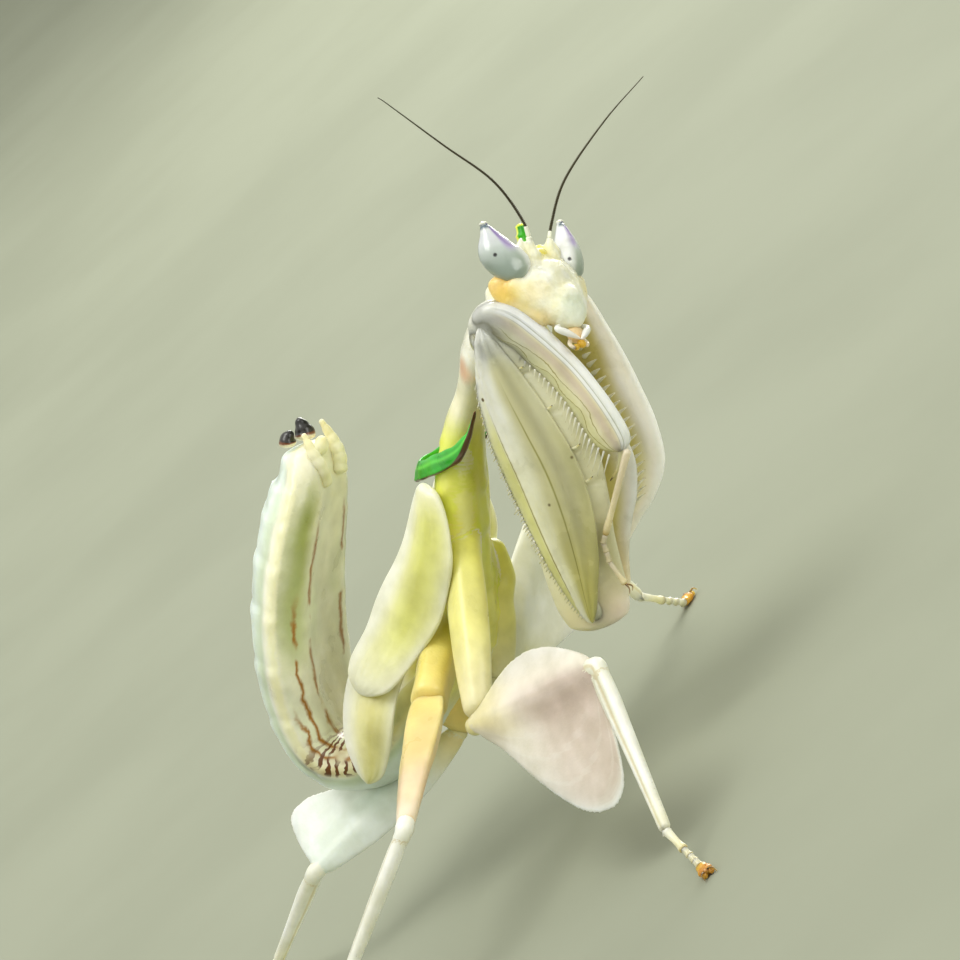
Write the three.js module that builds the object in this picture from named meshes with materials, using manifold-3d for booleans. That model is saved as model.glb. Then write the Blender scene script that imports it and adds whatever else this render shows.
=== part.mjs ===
// Orchid mantis (Hymenopus coronatus), subadult female, as a life-size standing model.
// Millimetres, +Z up. The animal faces -Y, its left side is +X, and its feet rest on z = 0.
// The foreparts are reared up, the forelegs are folded and the abdomen is curled over the back.

import * as THREE from "three";
import { mergeVertices } from "three/addons/utils/BufferGeometryUtils.js";
import Module from "manifold-3d";

const wasm = await Module();
wasm.setup();

const model = new THREE.Group();
const vec = (x, y, z) => new THREE.Vector3(x, y, z);

// ---------------------------------------------------------------- driving dimensions

const GAP = 0.3; // clearance between neighbouring pieces
const TRUNK_PITCH = 50; // degrees that the thorax is reared up from the ground
const TRUNK_ROLL = 17; // degrees that the trunk leans to its left
const COLLAR_HEIGHT = 15.2; // height of the rear edge of the pronotum
const PETAL_RIM = 0.27; // half thickness of the petal-like lobes
const ANTENNA_RADIUS = 0.26;
const SPINE_RADIUS = 0.2;
const SMOOTHING = 0.024; // how far a surface may move when needless facets are merged

// ---------------------------------------------------------------- frames

const degrees = THREE.MathUtils.degToRad;

// The trunk's own directions: towards the head, to the left and towards the back.
const towardsHead = vec(0, -Math.cos(degrees(TRUNK_PITCH)), Math.sin(degrees(TRUNK_PITCH)));
const levelLeft = vec(1, 0, 0);
const trunkLeft = levelLeft.clone().applyAxisAngle(towardsHead, -degrees(TRUNK_ROLL));
const trunkBack = towardsHead.clone().cross(trunkLeft);
const collarCentre = vec(1.8, -4.0, COLLAR_HEIGHT);

// A point of the trunk: distance towards the head from the collar, to the left, and towards the back.
function trunk(ahead, left, back) {
  return collarCentre
    .clone()
    .addScaledVector(towardsHead, ahead)
    .addScaledVector(trunkLeft, left)
    .addScaledVector(trunkBack, back);
}

// The head's own directions: it is turned to the right and looks a little upwards.
const crown = trunk(9.1, 0, -3.5);
const headUp = vec(0.58, -0.14, 0.8).normalize();
const headLeft = vec(0.69, -0.44, -0.57);
headLeft.addScaledVector(headUp, -headLeft.dot(headUp)).normalize();
const headFront = headLeft.clone().cross(headUp);

// A point of the head, measured from the crown.
function head(left, up, front) {
  return crown
    .clone()
    .addScaledVector(headLeft, left)
    .addScaledVector(headUp, up)
    .addScaledVector(headFront, front);
}

// ---------------------------------------------------------------- solids

// A smooth value along a piece, through evenly spaced stops.
function taper(...stops) {
  const curve = new THREE.SplineCurve(stops.map((value, index) => new THREE.Vector2(index, value)));
  return (t) => Math.max(curve.getPoint(t).y, 0.03);
}

function signedPower(value, power) {
  return Math.sign(value) * Math.pow(Math.abs(value), power);
}

// One closed body of oval sections strung on a smooth path. `side` is the section's width direction;
// right, left, front and back are its half sizes along and across it. A petal also has a rim: its
// thickness falls from the shaft, `ridge` wide, to the rim. `grow` makes the same body fatter all round.
function loft(shape, grow = 0) {
  const { path, side, right, left = right, front, back = front } = shape;
  const { rings = 10, sides = 12, power = 2, rim = 0, ridge = 1, ends = 1, dome = 0.35, lean = 0 } = shape;
  const curve = new THREE.CatmullRomCurve3(path, false, "centripetal");
  const positions = [];
  const ringOf = (t) => {
    const tangent = curve.getTangent(t);
    const across = side.clone().addScaledVector(tangent, -side.dot(tangent)).normalize();
    const normal = tangent.clone().cross(across);
    const middle = curve.getPoint(t).addScaledVector(tangent, grow * (2 * t - 1));
    const round = { right: right(t), left: left(t), front: front(t), back: back(t) };
    return { across, normal, middle, round, tangent };
  };
  for (let ring = 0; ring <= rings; ring++) {
    const t = THREE.MathUtils.lerp(ring / rings, (1 - Math.cos((Math.PI * ring) / rings)) / 2, ends);
    const { across, normal, middle, round, tangent } = ringOf(t);
    for (let step = 0; step < sides; step++) {
      const angle = (2 * Math.PI * step) / sides;
      const u = signedPower(Math.cos(angle), 2 / power);
      const v = signedPower(Math.sin(angle), 2 / power);
      const x = u * (u > 0 ? round.right : round.left);
      const shaft = v > 0 ? round.front : round.back;
      const thin = rim > 0 ? Math.min(rim, shaft) : shaft;
      const half = thin + (shaft - thin) * Math.exp(-((x / ridge) ** 2)) + grow;
      const point = middle
        .clone()
        .addScaledVector(across, x + u * grow)
        .addScaledVector(normal, v * half)
        .addScaledVector(tangent, lean * x);
      positions.push(point.x, point.y, point.z);
    }
  }
  for (const t of [0, 1]) {
    const { middle, tangent, round } = ringOf(t);
    const bulge = dome * Math.min(round.front, round.right);
    const pole = middle.clone().addScaledVector(tangent, (2 * t - 1) * bulge);
    positions.push(pole.x, pole.y, pole.z);
  }
  const triangles = [];
  const startPole = (rings + 1) * sides;
  for (let step = 0; step < sides; step++) {
    const next = (step + 1) % sides;
    for (let ring = 0; ring < rings; ring++) {
      const a = ring * sides + step;
      const b = ring * sides + next;
      triangles.push(a, b, b + sides, a, b + sides, a + sides);
    }
    const last = rings * sides;
    triangles.push(startPole, next, step, startPole + 1, last + step, last + next);
  }
  return solidOf(positions, triangles);
}

function solidOf(positions, triangles) {
  const mesh = new wasm.Mesh({
    numProp: 3,
    vertProperties: new Float32Array(positions),
    triVerts: new Uint32Array(triangles),
  });
  return new wasm.Manifold(mesh);
}

// A three.js geometry, placed by a matrix, as a solid.
function solidFrom(geometry, matrix) {
  const bare = geometry.clone().applyMatrix4(matrix);
  bare.deleteAttribute("normal");
  bare.deleteAttribute("uv");
  const merged = mergeVertices(bare, 1e-4);
  return solidOf(merged.attributes.position.array, merged.index.array);
}

// A thorn from root to tip.
function thorn(root, tip, radius, sides = 5) {
  const length = root.distanceTo(tip);
  const cone = new THREE.CylinderGeometry(radius * 0.35, radius, length, sides, 1);
  const turn = new THREE.Quaternion().setFromUnitVectors(vec(0, 1, 0), tip.clone().sub(root).normalize());
  const middle = root.clone().lerp(tip, 0.5);
  return solidFrom(cone, new THREE.Matrix4().compose(middle, turn, vec(1, 1, 1)));
}

// The biggest piece of a solid, so that a trimmed part leaves no crumbs.
function biggest(solid) {
  return solid.decompose().sort((a, b) => b.volume() - a.volume())[0];
}

// A solid cut back to leave the gap to its neighbours, which are given as shapes.
function clearOf(solid, ...shapes) {
  return biggest(shapes.reduce((left, shape) => left.subtract(loft(shape, GAP)), solid));
}

function add(name, solid, material) {
  const { vertProperties, triVerts, numProp } = solid.simplify(SMOOTHING).getMesh();
  const positions = new Float32Array((vertProperties.length / numProp) * 3);
  for (let index = 0; index < positions.length / 3; index++) {
    positions.set(vertProperties.subarray(index * numProp, index * numProp + 3), index * 3);
  }
  const geometry = new THREE.BufferGeometry();
  geometry.setAttribute("position", new THREE.BufferAttribute(positions, 3));
  geometry.setIndex(new THREE.BufferAttribute(new Uint32Array(triVerts), 1));
  geometry.computeVertexNormals();
  const mesh = new THREE.Mesh(geometry, material);
  mesh.name = name;
  model.add(mesh);
}

// ---------------------------------------------------------------- materials

const finish = (color, roughness) => new THREE.MeshStandardMaterial({ color, roughness, metalness: 0 });
const ivory = finish(0xf1eedb, 0.45);
const lime = finish(0xc9cf5a, 0.4);
const leafGreen = finish(0x2fae1f, 0.3);
const petalWhite = finish(0xe6e2dc, 0.45);
const lilacEye = finish(0xb7b3cf, 0.2);
const black = finish(0x17130f, 0.3);
const amber = finish(0xd9962e, 0.4);
const hornBrown = finish(0x3c3426, 0.5);

// ---------------------------------------------------------------- trunk

const pronotumShape = {
  path: [
    trunk(6.3, 0, -2.15),
    trunk(5.3, 0, -1.85),
    trunk(4.2, 0, -1.5),
    trunk(3.2, 0, -1.15),
    trunk(2.2, 0, -0.85),
    trunk(1.1, 0, -0.5),
  ],
  side: trunkLeft,
  right: taper(1.0, 1.85, 1.9, 1.45, 1.15, 1.3),
  front: taper(0.6, 0.8, 0.8, 0.7, 0.65, 0.75),
  back: taper(0.7, 1.1, 1.1, 0.85, 0.8, 0.85),
  rings: 11,
  sides: 16,
  ends: 0.3,
  dome: 0.1,
};

const mesothoraxShape = {
  path: [trunk(0.8, 0, -0.45), trunk(-0.8, 0, -0.25), trunk(-3.0, 0, -0.3), trunk(-5.3, 0, -0.45)],
  side: trunkLeft,
  right: taper(1.25, 1.7, 1.8, 1.7),
  front: taper(0.75, 1.05, 1.1, 1.15),
  back: taper(0.8, 0.95, 1.1, 1.15),
  rings: 9,
  sides: 14,
  ends: 0.3,
  dome: 0,
};

const metathoraxShape = {
  path: [trunk(-5.6, 0, -0.45), trunk(-7.0, 0, -0.55), trunk(-8.2, 0, -0.4), trunk(-9.2, 0, -0.05)],
  side: trunkLeft,
  right: taper(1.7, 1.8, 1.8, 1.6),
  front: taper(1.15, 1.25, 1.25, 1.05),
  back: taper(1.15, 1.15, 1.1, 0.95),
  rings: 7,
  sides: 14,
  ends: 0,
  dome: 0,
};

// The green flange on the rear edge of the pronotum: a band over the back, lowest in the middle.
const collarShape = {
  path: [
    trunk(1.6, -1.55, -1.25),
    trunk(0.75, -1.85, -0.35),
    trunk(-0.25, -1.55, 0.6),
    trunk(-0.7, 0, 1.3),
    trunk(-0.25, 1.55, 0.6),
    trunk(0.75, 1.85, -0.35),
    trunk(1.6, 1.55, -1.25),
  ],
  side: towardsHead,
  right: taper(0.3, 0.5, 0.75, 0.85, 0.75, 0.5, 0.3),
  front: () => 0.27,
  rings: 14,
  sides: 6,
  ends: 0,
};

add("pronotum", loft(pronotumShape), ivory);
add("collar", clearOf(loft(collarShape), pronotumShape, mesothoraxShape), leafGreen);
add("mesothorax", loft(mesothoraxShape), lime);
add("metathorax", loft(metathoraxShape), lime);

// ---------------------------------------------------------------- abdomen

// The abdomen curls back, down and up again over the back; it is boat-shaped, flat above and keeled below.
const abdomenPath = new THREE.CatmullRomCurve3(
  [
    trunk(-9.5, 0, 0.15),
    trunk(-10.9, 0, 1.2),
    trunk(-12.3, 0, 2.5),
    trunk(-13.0, 0, 3.9),
    trunk(-12.8, 0, 5.3),
    trunk(-11.2, 0, 6.2),
    trunk(-8.8, 0, 6.5),
    trunk(-6.2, 0, 6.55),
    trunk(-3.8, 0, 6.45),
    trunk(-1.9, 0, 6.2),
    trunk(-0.8, 0, 6.1),
  ],
  false,
  "centripetal",
);
const abdomenWidth = taper(1.6, 2.0, 2.3, 2.7, 3.1, 3.8, 4.3, 4.4, 3.9, 2.7, 1.5);
const abdomenKeel = taper(0.9, 1.1, 1.4, 1.7, 2.0, 2.2, 2.25, 2.25, 2.25, 2.1, 1.5);
const abdomenRoof = taper(0.9, 0.9, 0.8, 0.8, 0.8, 0.8, 0.8, 0.8, 0.8, 0.8, 0.7);

function abdomenLength(from, to, rings) {
  const stretch = (value) => (t) => value(THREE.MathUtils.lerp(from, to, t));
  const steps = 6;
  const path = [];
  for (let step = 0; step <= steps; step++) {
    path.push(abdomenPath.getPoint(THREE.MathUtils.lerp(from, to, step / steps)));
  }
  return {
    path,
    side: trunkLeft,
    right: stretch(abdomenWidth),
    front: stretch(abdomenKeel),
    back: stretch(abdomenRoof),
    power: 2.2,
    rings,
    sides: 16,
    ends: 0,
    dome: 0,
  };
}

const abdomenParts = {
  abdomen_base: abdomenLength(0, 0.235, 6),
  abdomen_bend: abdomenLength(0.25, 0.475, 7),
  abdomen_middle: abdomenLength(0.49, 0.725, 6),
  abdomen_end: abdomenLength(0.74, 1, 7),
};
for (const [name, shape] of Object.entries(abdomenParts)) {
  add(name, loft(shape), ivory);
}

// The black tip of the keel and the two short cerci.
const keelTip = {
  path: [trunk(-0.75, 0.1, 7.3), trunk(-0.1, 0.1, 7.15), trunk(0.5, 0.1, 6.8)],
  side: trunkLeft,
  right: taper(0.8, 0.75, 0.3),
  front: taper(0.5, 0.5, 0.25),
  rings: 5,
  sides: 8,
};
add("abdomen_tip", clearOf(loft(keelTip), abdomenParts.abdomen_end), black);
for (const [name, hand] of [["cercus_right", -1], ["cercus_left", 1]]) {
  const cercus = {
    path: [trunk(-0.7, hand * 0.8, 5.75), trunk(0, hand * 0.95, 5.65), trunk(0.6, hand * 1.0, 5.7)],
    side: trunkLeft,
    right: taper(0.32, 0.34, 0.2),
    front: taper(0.32, 0.34, 0.2),
    rings: 5,
    sides: 7,
  };
  add(name, clearOf(loft(cercus), abdomenParts.abdomen_end, keelTip), ivory);
}

// ---------------------------------------------------------------- wing pads

function wingPads() {
  for (const [side, hand] of [["right", -1], ["left", 1]]) {
    const outward = trunkLeft.clone().multiplyScalar(hand);
    const slope = outward.clone().multiplyScalar(0.55).addScaledVector(trunkBack, -0.83);
    const fore = {
      path: [
        trunk(-1.3, hand * 1.8, 0.95),
        trunk(-3.5, hand * 2.0, 0.9),
        trunk(-5.8, hand * 2.35, 1.2),
        trunk(-8.0, hand * 2.7, 1.9),
        trunk(-9.9, hand * 3.05, 2.7),
      ],
      side: slope,
      right: taper(0.35, 1.35, 1.95, 1.75, 0.9),
      front: taper(0.29, 0.31, 0.31, 0.31, 0.29),
      power: 2.4,
      rings: 9,
      sides: 10,
      ends: 0.7,
    };
    const hind = {
      path: [
        trunk(-9.9, hand * 2.75, 2.45),
        trunk(-11.3, hand * 3.2, 2.75),
        trunk(-12.8, hand * 3.5, 2.9),
        trunk(-13.8, hand * 3.55, 2.8),
      ],
      side: slope,
      right: taper(0.8, 1.2, 1.15, 0.6),
      front: taper(0.29, 0.31, 0.31, 0.29),
      power: 2.4,
      rings: 7,
      sides: 10,
      ends: 0.7,
    };
    const abdomen = Object.values(abdomenParts);
    add(`forewing_pad_${side}`, clearOf(loft(fore), mesothoraxShape, metathoraxShape, ...abdomen), ivory);
    add(`hindwing_pad_${side}`, clearOf(loft(hind), fore, metathoraxShape, ...abdomen), ivory);
  }
}
wingPads();

// ---------------------------------------------------------------- head

const faceShape = {
  path: [head(0, 0.05, -0.35), head(0, -1.0, -0.2), head(0, -2.2, 0), head(0, -3.3, 0.1), head(0, -4.0, 0.1)],
  side: headLeft,
  right: taper(1.0, 2.15, 1.7, 0.9, 0.55),
  front: taper(0.45, 0.8, 0.75, 0.6, 0.4),
  back: taper(0.5, 1.5, 1.6, 0.95, 0.4),
  rings: 9,
  sides: 14,
  ends: 0.5,
};
const eyeShape = (hand) => ({
  path: [
    head(hand * 2.15, -1.25, -0.35),
    head(hand * 2.12, -0.75, -0.32),
    head(hand * 2.1, -0.05, -0.25),
    head(hand * 2.15, 0.65, -0.12),
    head(hand * 2.2, 1.25, -0.05),
  ],
  side: headLeft,
  right: taper(0.35, 0.72, 0.74, 0.45, 0.1),
  front: taper(0.35, 0.85, 0.85, 0.5, 0.1),
  rings: 8,
  sides: 11,
  ends: 0.6,
});
const hornShape = {
  path: [head(0, 0.3, -0.35), head(0, 0.8, -0.4), head(0, 1.4, -0.42)],
  side: headLeft,
  right: taper(0.4, 0.32, 0.14),
  front: taper(0.4, 0.34, 0.14),
  rings: 4,
  sides: 8,
};
const mouthShape = {
  path: [head(-0.3, -4.25, 0.05), head(-0.3, -4.7, 0.1), head(-0.3, -5.0, 0.15)],
  side: headLeft,
  right: taper(0.75, 0.7, 0.3),
  front: taper(0.4, 0.42, 0.25),
  rings: 4,
  sides: 10,
};

function buildHead() {
  add("head", clearOf(loft(faceShape), eyeShape(-1), eyeShape(1), hornShape, pronotumShape), ivory);
  add("eye_right", loft(eyeShape(-1)), lilacEye);
  add("eye_left", loft(eyeShape(1)), lilacEye);
  add("horn", loft(hornShape), leafGreen);
  add("mouthparts", clearOf(loft(mouthShape), faceShape), amber);
}
buildHead();

// Each feeler is a thin whip bent outwards.
const antennaPaths = {
  right: [
    head(-0.4, -0.2, 0.45),
    head(-0.6, 0.7, 0.7),
    head(-2.2, 2.2, 1.4),
    head(-4.7, 3.6, 2.0),
    head(-7.7, 5.0, 2.9),
    head(-8.3, 5.2, 3.1),
  ],
  left: [
    head(0.5, -0.2, 0.5),
    head(0.7, 0.6, 0.8),
    head(1.6, 2.1, 1.7),
    head(4.0, 4.1, 2.9),
    head(6.4, 5.7, 3.9),
  ],
};
for (const [side, path] of Object.entries(antennaPaths)) {
  const whip = {
    path,
    side: headFront,
    right: () => ANTENNA_RADIUS,
    front: () => ANTENNA_RADIUS,
    rings: 12,
    sides: 6,
    ends: 0,
  };
  add(`antenna_${side}`, clearOf(loft(whip), faceShape, eyeShape(-1), eyeShape(1)), hornBrown);
}

// ---------------------------------------------------------------- forelegs

// Each foreleg is given by its joints: hip, elbow (bottom), knee (top), claw (end of the tibia) and toe.
const forelegs = {
  right: {
    hip: trunk(5.4, -2.6, -2.1),
    elbow: trunk(-5.9, -2.5, -7.0),
    femurStart: trunk(-6.6, -1.25, -7.4),
    knee: trunk(6.5, -1.45, -2.5),
    claw: trunk(1.5, -1.4, -7.6),
    heel: trunk(-2.2, -1.9, -7.5),
    toe: trunk(-4.9, -1.9, -8.5),
    hand: -1,
  },
  left: {
    hip: trunk(5.4, 2.6, -2.1),
    elbow: trunk(-6.2, 2.7, -5.2),
    femurStart: trunk(-6.9, 1.4, -5.5),
    knee: trunk(6.7, 1.9, -4.75),
    claw: trunk(-0.7, 1.5, -8.35),
    heel: trunk(-3.6, 2.1, -7.4),
    toe: trunk(-5.9, 2.1, -7.0),
    hand: 1,
  },
};

function bent(from, to, offset, ...fractions) {
  return fractions.map((t) => from.clone().lerp(to, t).addScaledVector(offset, Math.sin(Math.PI * t)));
}

function foreleg(side, { hip, elbow, femurStart, knee, claw, heel, toe, hand }) {
  const outward = trunkLeft.clone().multiplyScalar(hand);
  const length = femurStart.distanceTo(knee);
  const femurDirection = knee.clone().sub(femurStart).normalize();
  // In the plane of the folded leg, at right angles to the femur: towards the tibia.
  const towardsTibia = claw.clone().sub(femurStart);
  towardsTibia.addScaledVector(femurDirection, -towardsTibia.dot(femurDirection));
  towardsTibia.addScaledVector(outward, -towardsTibia.dot(outward)).normalize();

  const coxa = {
    path: bent(hip, elbow, towardsTibia.clone().multiplyScalar(0.3), 0, 0.2, 0.4, 0.6, 0.8, 1),
    side: towardsTibia,
    right: taper(0.6, 1.25, 1.6, 1.5, 1.0, 0.4),
    left: taper(0.6, 1.15, 1.4, 1.3, 0.9, 0.3),
    front: taper(0.32, 0.42, 0.42, 0.4, 0.36, 0.28),
    power: 2.4,
    rings: 10,
    sides: 12,
    ends: 0.6,
  };
  const femur = {
    path: bent(femurStart, knee, vec(0, 0, 0), 0, 0.2, 0.4, 0.6, 0.8, 1),
    side: towardsTibia,
    right: taper(0.7, 2.0, 2.2, 1.95, 1.3, 0.45),
    left: taper(0.85, 1.5, 1.45, 1.2, 0.9, 0.5),
    front: taper(0.45, 0.48, 0.46, 0.42, 0.42, 0.42),
    power: 2.3,
    rings: 9,
    sides: 10,
    ends: 0.7,
  };
  const shin = claw.clone().sub(knee);
  const tibiaTop = knee.clone().addScaledVector(towardsTibia, 0.75);
  const tibia = {
    path: bent(tibiaTop, claw, towardsTibia.clone().multiplyScalar(0.3), 0, 0.25, 0.5, 0.75, 1),
    side: towardsTibia,
    right: taper(0.35, 0.65, 0.75, 0.65, 0.3),
    left: taper(0.35, 0.75, 0.95, 0.75, 0.3),
    front: taper(0.36, 0.42, 0.42, 0.38, 0.3),
    power: 2.2,
    rings: 9,
    sides: 10,
    ends: 0.7,
  };
  const tarsus = {
    path: [claw.clone().addScaledVector(outward, 0.62), heel, toe],
    side: towardsTibia,
    right: taper(0.27, 0.27, 0.3, 0.27),
    front: taper(0.27, 0.27, 0.27, 0.27),
    rings: 8,
    sides: 6,
    ends: 0,
  };

  // Spines on the rim of the femur, beyond the closed tibia, and on the last stretch of the tibia.
  const femurSpines = [0.2, 0.27, 0.34, 0.41].map((t) => {
    const foot = femurStart.clone().addScaledVector(femurDirection, length * t);
    const root = foot.addScaledVector(towardsTibia, 0.9);
    const tip = root.clone().addScaledVector(towardsTibia, 1.5).addScaledVector(femurDirection, 0.7);
    return thorn(root, tip, SPINE_RADIUS, 4);
  });
  const clawTip = claw.clone().addScaledVector(shin.clone().normalize(), 1.1);
  clawTip.addScaledVector(towardsTibia, -0.75);
  const tibiaTip = thorn(knee.clone().addScaledVector(shin, 0.93), clawTip, SPINE_RADIUS * 1.25, 6);
  const femurSolid = femurSpines.reduce((all, spine) => all.add(spine), loft(femur));
  const tibiaSolid = loft(tibia).add(tibiaTip);

  add(`fore_coxa_${side}`, clearOf(loft(coxa), pronotumShape, femur), ivory);
  add(`fore_femur_${side}`, clearOf(femurSolid, tibia, tarsus, pronotumShape), petalWhite);
  add(`fore_tibia_${side}`, clearOf(tibiaSolid, faceShape, mouthShape), petalWhite);
  add(`fore_tarsus_${side}`, clearOf(loft(tarsus), tibia), petalWhite);
}
for (const [side, joints] of Object.entries(forelegs)) {
  foreleg(side, joints);
}

// ---------------------------------------------------------------- walking legs

// Joints of each walking leg over the ground: hip, trochanter, knee, ankle and toe.
const walkingLegs = {
  mid_right: {
    hip: trunk(-4.9, -1.9, -1.0),
    joints: [vec(-4.8, 1.3, 7.1), vec(-10.5, -5.2, 7.3), vec(-16.2, -4.2, 1.8), vec(-19.0, -5.0, 0)],
    lobe: 5.1,
    lean: 0.42,
    twist: 0,
  },
  mid_left: {
    hip: trunk(-6.4, 1.7, -0.8),
    joints: [vec(2.9, 1.2, 5.8), vec(8.5, -3.6, 9.5), vec(13.2, -3.4, 2.4), vec(16.9, -4.5, 0)],
    lobe: 4.6,
    lean: 0.42,
    twist: 0,
  },
  hind_right: {
    hip: trunk(-8.4, -1.9, -0.2),
    joints: [vec(-3.1, 3.1, 8.4), vec(-10.8, 5.1, 7.0), vec(-10.4, 13.8, 2.0), vec(-9.6, 18.4, 0)],
    lobe: 1.9,
    lean: 0.2,
    twist: -40,
  },
  hind_left: {
    hip: trunk(-9.0, 2.1, -1.0),
    joints: [vec(3.6, 4.6, 5.2), vec(1.9, 12.8, 4.6), vec(7.4, 18.3, 1.1), vec(10.0, 22.2, 0)],
    lobe: 2.8,
    lean: 0.2,
    twist: -75,
  },
};
const HIP_RADIUS = 0.62;

// The ground, as a slab that cuts the soles flat.
const slab = new THREE.BoxGeometry(120, 120, 20);
const ground = solidFrom(slab, new THREE.Matrix4().makeTranslation(0, 0, -10));

// A stretch from a to b that stops short of both by the given amounts.
function stretch(a, b, short, shortEnd = short) {
  const way = b.clone().sub(a).normalize();
  return [a.clone().addScaledVector(way, short), b.clone().addScaledVector(way, -shortEnd)];
}

const standing = []; // shapes of the legs already built
const abdomenRoot = [abdomenParts.abdomen_base, abdomenParts.abdomen_bend];

function walkingLeg(name, { hip, joints, lobe, lean, twist }) {
  const [trochanter, knee, ankle, toe] = joints;
  const femurWay = knee.clone().sub(trochanter).normalize();
  const flexor = ankle.clone().sub(knee);
  flexor.addScaledVector(femurWay, -flexor.dot(femurWay)).normalize();
  flexor.applyAxisAngle(femurWay, degrees(twist));

  const [hipEnd, coxaEnd] = stretch(hip, trochanter, 0, 0.45);
  const coxa = {
    path: [hipEnd, hipEnd.clone().lerp(coxaEnd, 0.5), coxaEnd],
    side: flexor,
    right: taper(HIP_RADIUS, HIP_RADIUS * 1.1, HIP_RADIUS * 0.75),
    front: taper(HIP_RADIUS, HIP_RADIUS, HIP_RADIUS * 0.75),
    rings: 5,
    sides: 9,
    ends: 0.6,
  };
  const [femurStart, femurEnd] = stretch(trochanter, knee, 0.1, 0.35);
  const femur = {
    path: [0, 0.25, 0.5, 0.75, 1].map((t) => femurStart.clone().lerp(femurEnd, t)),
    side: flexor,
    right: taper(0.4, lobe * 0.5, lobe * 0.93, lobe * 1.12, lobe * 1.0, 0.3),
    left: taper(0.4, 0.6, 0.7, 0.65, 0.5, 0.35),
    front: taper(0.4, 0.5, 0.5, 0.48, 0.45, 0.35),
    rim: PETAL_RIM,
    ridge: 1.1,
    power: 2.5,
    rings: 9,
    sides: 11,
    ends: 0.8,
    lean,
  };
  const [tibiaStart, tibiaEnd] = stretch(knee, ankle, 0.25, 0.2);
  const tibia = {
    path: [tibiaStart, tibiaStart.clone().lerp(tibiaEnd, 0.5), tibiaEnd],
    side: femurWay,
    right: taper(0.42, 0.38, 0.32, 0.3),
    front: taper(0.34, 0.32, 0.28, 0.27),
    rings: 6,
    sides: 8,
    ends: 0.5,
  };
  const level = vec(toe.x - ankle.x, toe.y - ankle.y, 0).normalize();
  const soleStart = toe.clone().addScaledVector(level, -1.3).add(vec(0, 0, 0.3));
  const tarsus = {
    path: [
      stretch(ankle, soleStart, 0.2)[0],
      ankle.clone().lerp(soleStart, 0.5).add(vec(0, 0, 0.05)),
      soleStart,
      toe.clone().add(vec(0, 0, 0.22)),
    ],
    side: vec(-level.y, level.x, 0),
    right: taper(0.27, 0.27, 0.42, 0.3),
    front: taper(0.27, 0.27, 0.3, 0.28),
    rings: 8,
    sides: 8,
    ends: 0,
  };
  add(`${name}_coxa`, clearOf(loft(coxa), mesothoraxShape, metathoraxShape, ...abdomenRoot, ...standing), ivory);
  add(`${name}_femur`, clearOf(loft(femur), coxa, tibia, ...abdomenRoot, ...standing), petalWhite);
  standing.push(coxa, femur);
  add(`${name}_tibia`, loft(tibia), petalWhite);
  add(`${name}_tarsus`, clearOf(loft(tarsus).subtract(ground), tibia), amber);
}
for (const [name, leg] of Object.entries(walkingLegs)) {
  walkingLeg(name, leg);
}

// ---------------------------------------------------------------- placing

// The origin lies on the ground, under the middle of the whole animal.
const extent = new THREE.Box3().setFromObject(model, true);
const middle = extent.getCenter(vec(0, 0, 0));
model.position.set(-middle.x, -middle.y, 0);

export default model;
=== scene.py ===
"""Orchid mantis, subadult female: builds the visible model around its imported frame, and the stage.

Plain numbers in the code are millimetres; property groups and meshes are in metres.
"""

import math

import bmesh
import bpy
import numpy as np
from mathutils import Matrix, Vector
from mathutils.kdtree import KDTree


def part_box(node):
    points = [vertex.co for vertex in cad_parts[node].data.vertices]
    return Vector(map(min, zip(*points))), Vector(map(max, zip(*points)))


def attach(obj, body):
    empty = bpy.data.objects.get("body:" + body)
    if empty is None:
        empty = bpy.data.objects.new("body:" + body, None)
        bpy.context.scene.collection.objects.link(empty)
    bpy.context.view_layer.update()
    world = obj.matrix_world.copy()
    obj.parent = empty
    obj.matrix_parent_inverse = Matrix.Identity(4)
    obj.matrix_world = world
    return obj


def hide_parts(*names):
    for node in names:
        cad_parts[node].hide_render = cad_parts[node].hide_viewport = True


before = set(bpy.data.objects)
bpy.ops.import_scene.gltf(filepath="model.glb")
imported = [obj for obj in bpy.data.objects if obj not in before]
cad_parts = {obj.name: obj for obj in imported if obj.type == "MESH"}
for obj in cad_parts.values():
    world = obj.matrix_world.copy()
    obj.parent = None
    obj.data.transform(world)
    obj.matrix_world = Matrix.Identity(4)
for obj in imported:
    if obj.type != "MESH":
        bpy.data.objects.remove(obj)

bl_info = {
    "name": "Orchid Mantis Maker",
    "version": (1, 0, 0),
    "blender": (4, 5, 0),
    "location": "View3D > Sidebar > Mantis",
    "description": "Builds a life-size orchid mantis over its solid frame",
    "category": "Add Mesh",
}

MM = 0.001
SIDES = ("right", "left")
HAND = {"right": -1.0, "left": 1.0}
WALKING = tuple(f"{pair}_{side}" for pair in ("mid", "hind") for side in SIDES)
TRUNK_PITCH = 50  # degrees that the trunk is reared up
TRUNK_ROLL = 17  # degrees that it leans to its left
TRUNK_START = (0.897, 0.77)  # the trunk's origin, below the front and the back of the mesothorax
HEAD_PLACE = (9.1, 0, -3.5)  # the head's origin on the trunk's axes
HEAD_UP = np.array([0.58, -0.14, 0.8])
HEAD_LEFT = np.array([0.69, -0.44, -0.57])
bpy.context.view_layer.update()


# --- reading the frame


def unit(v):
    v = np.asarray(v, float)
    return v / np.linalg.norm(v)


def square_to(v, axis):
    """v with its part along axis taken out, as a unit vector."""
    return unit(v - axis * np.dot(v, axis))


def cloud(node):
    """The points of a frame node, in millimetres."""
    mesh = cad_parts[node].data
    points = np.empty(len(mesh.vertices) * 3, np.float32)
    mesh.vertices.foreach_get("co", points)
    return points.reshape(-1, 3).astype(float) / MM


def middle(node):
    low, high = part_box(node)
    return (np.array(low) + np.array(high)) / (2 * MM)


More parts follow.
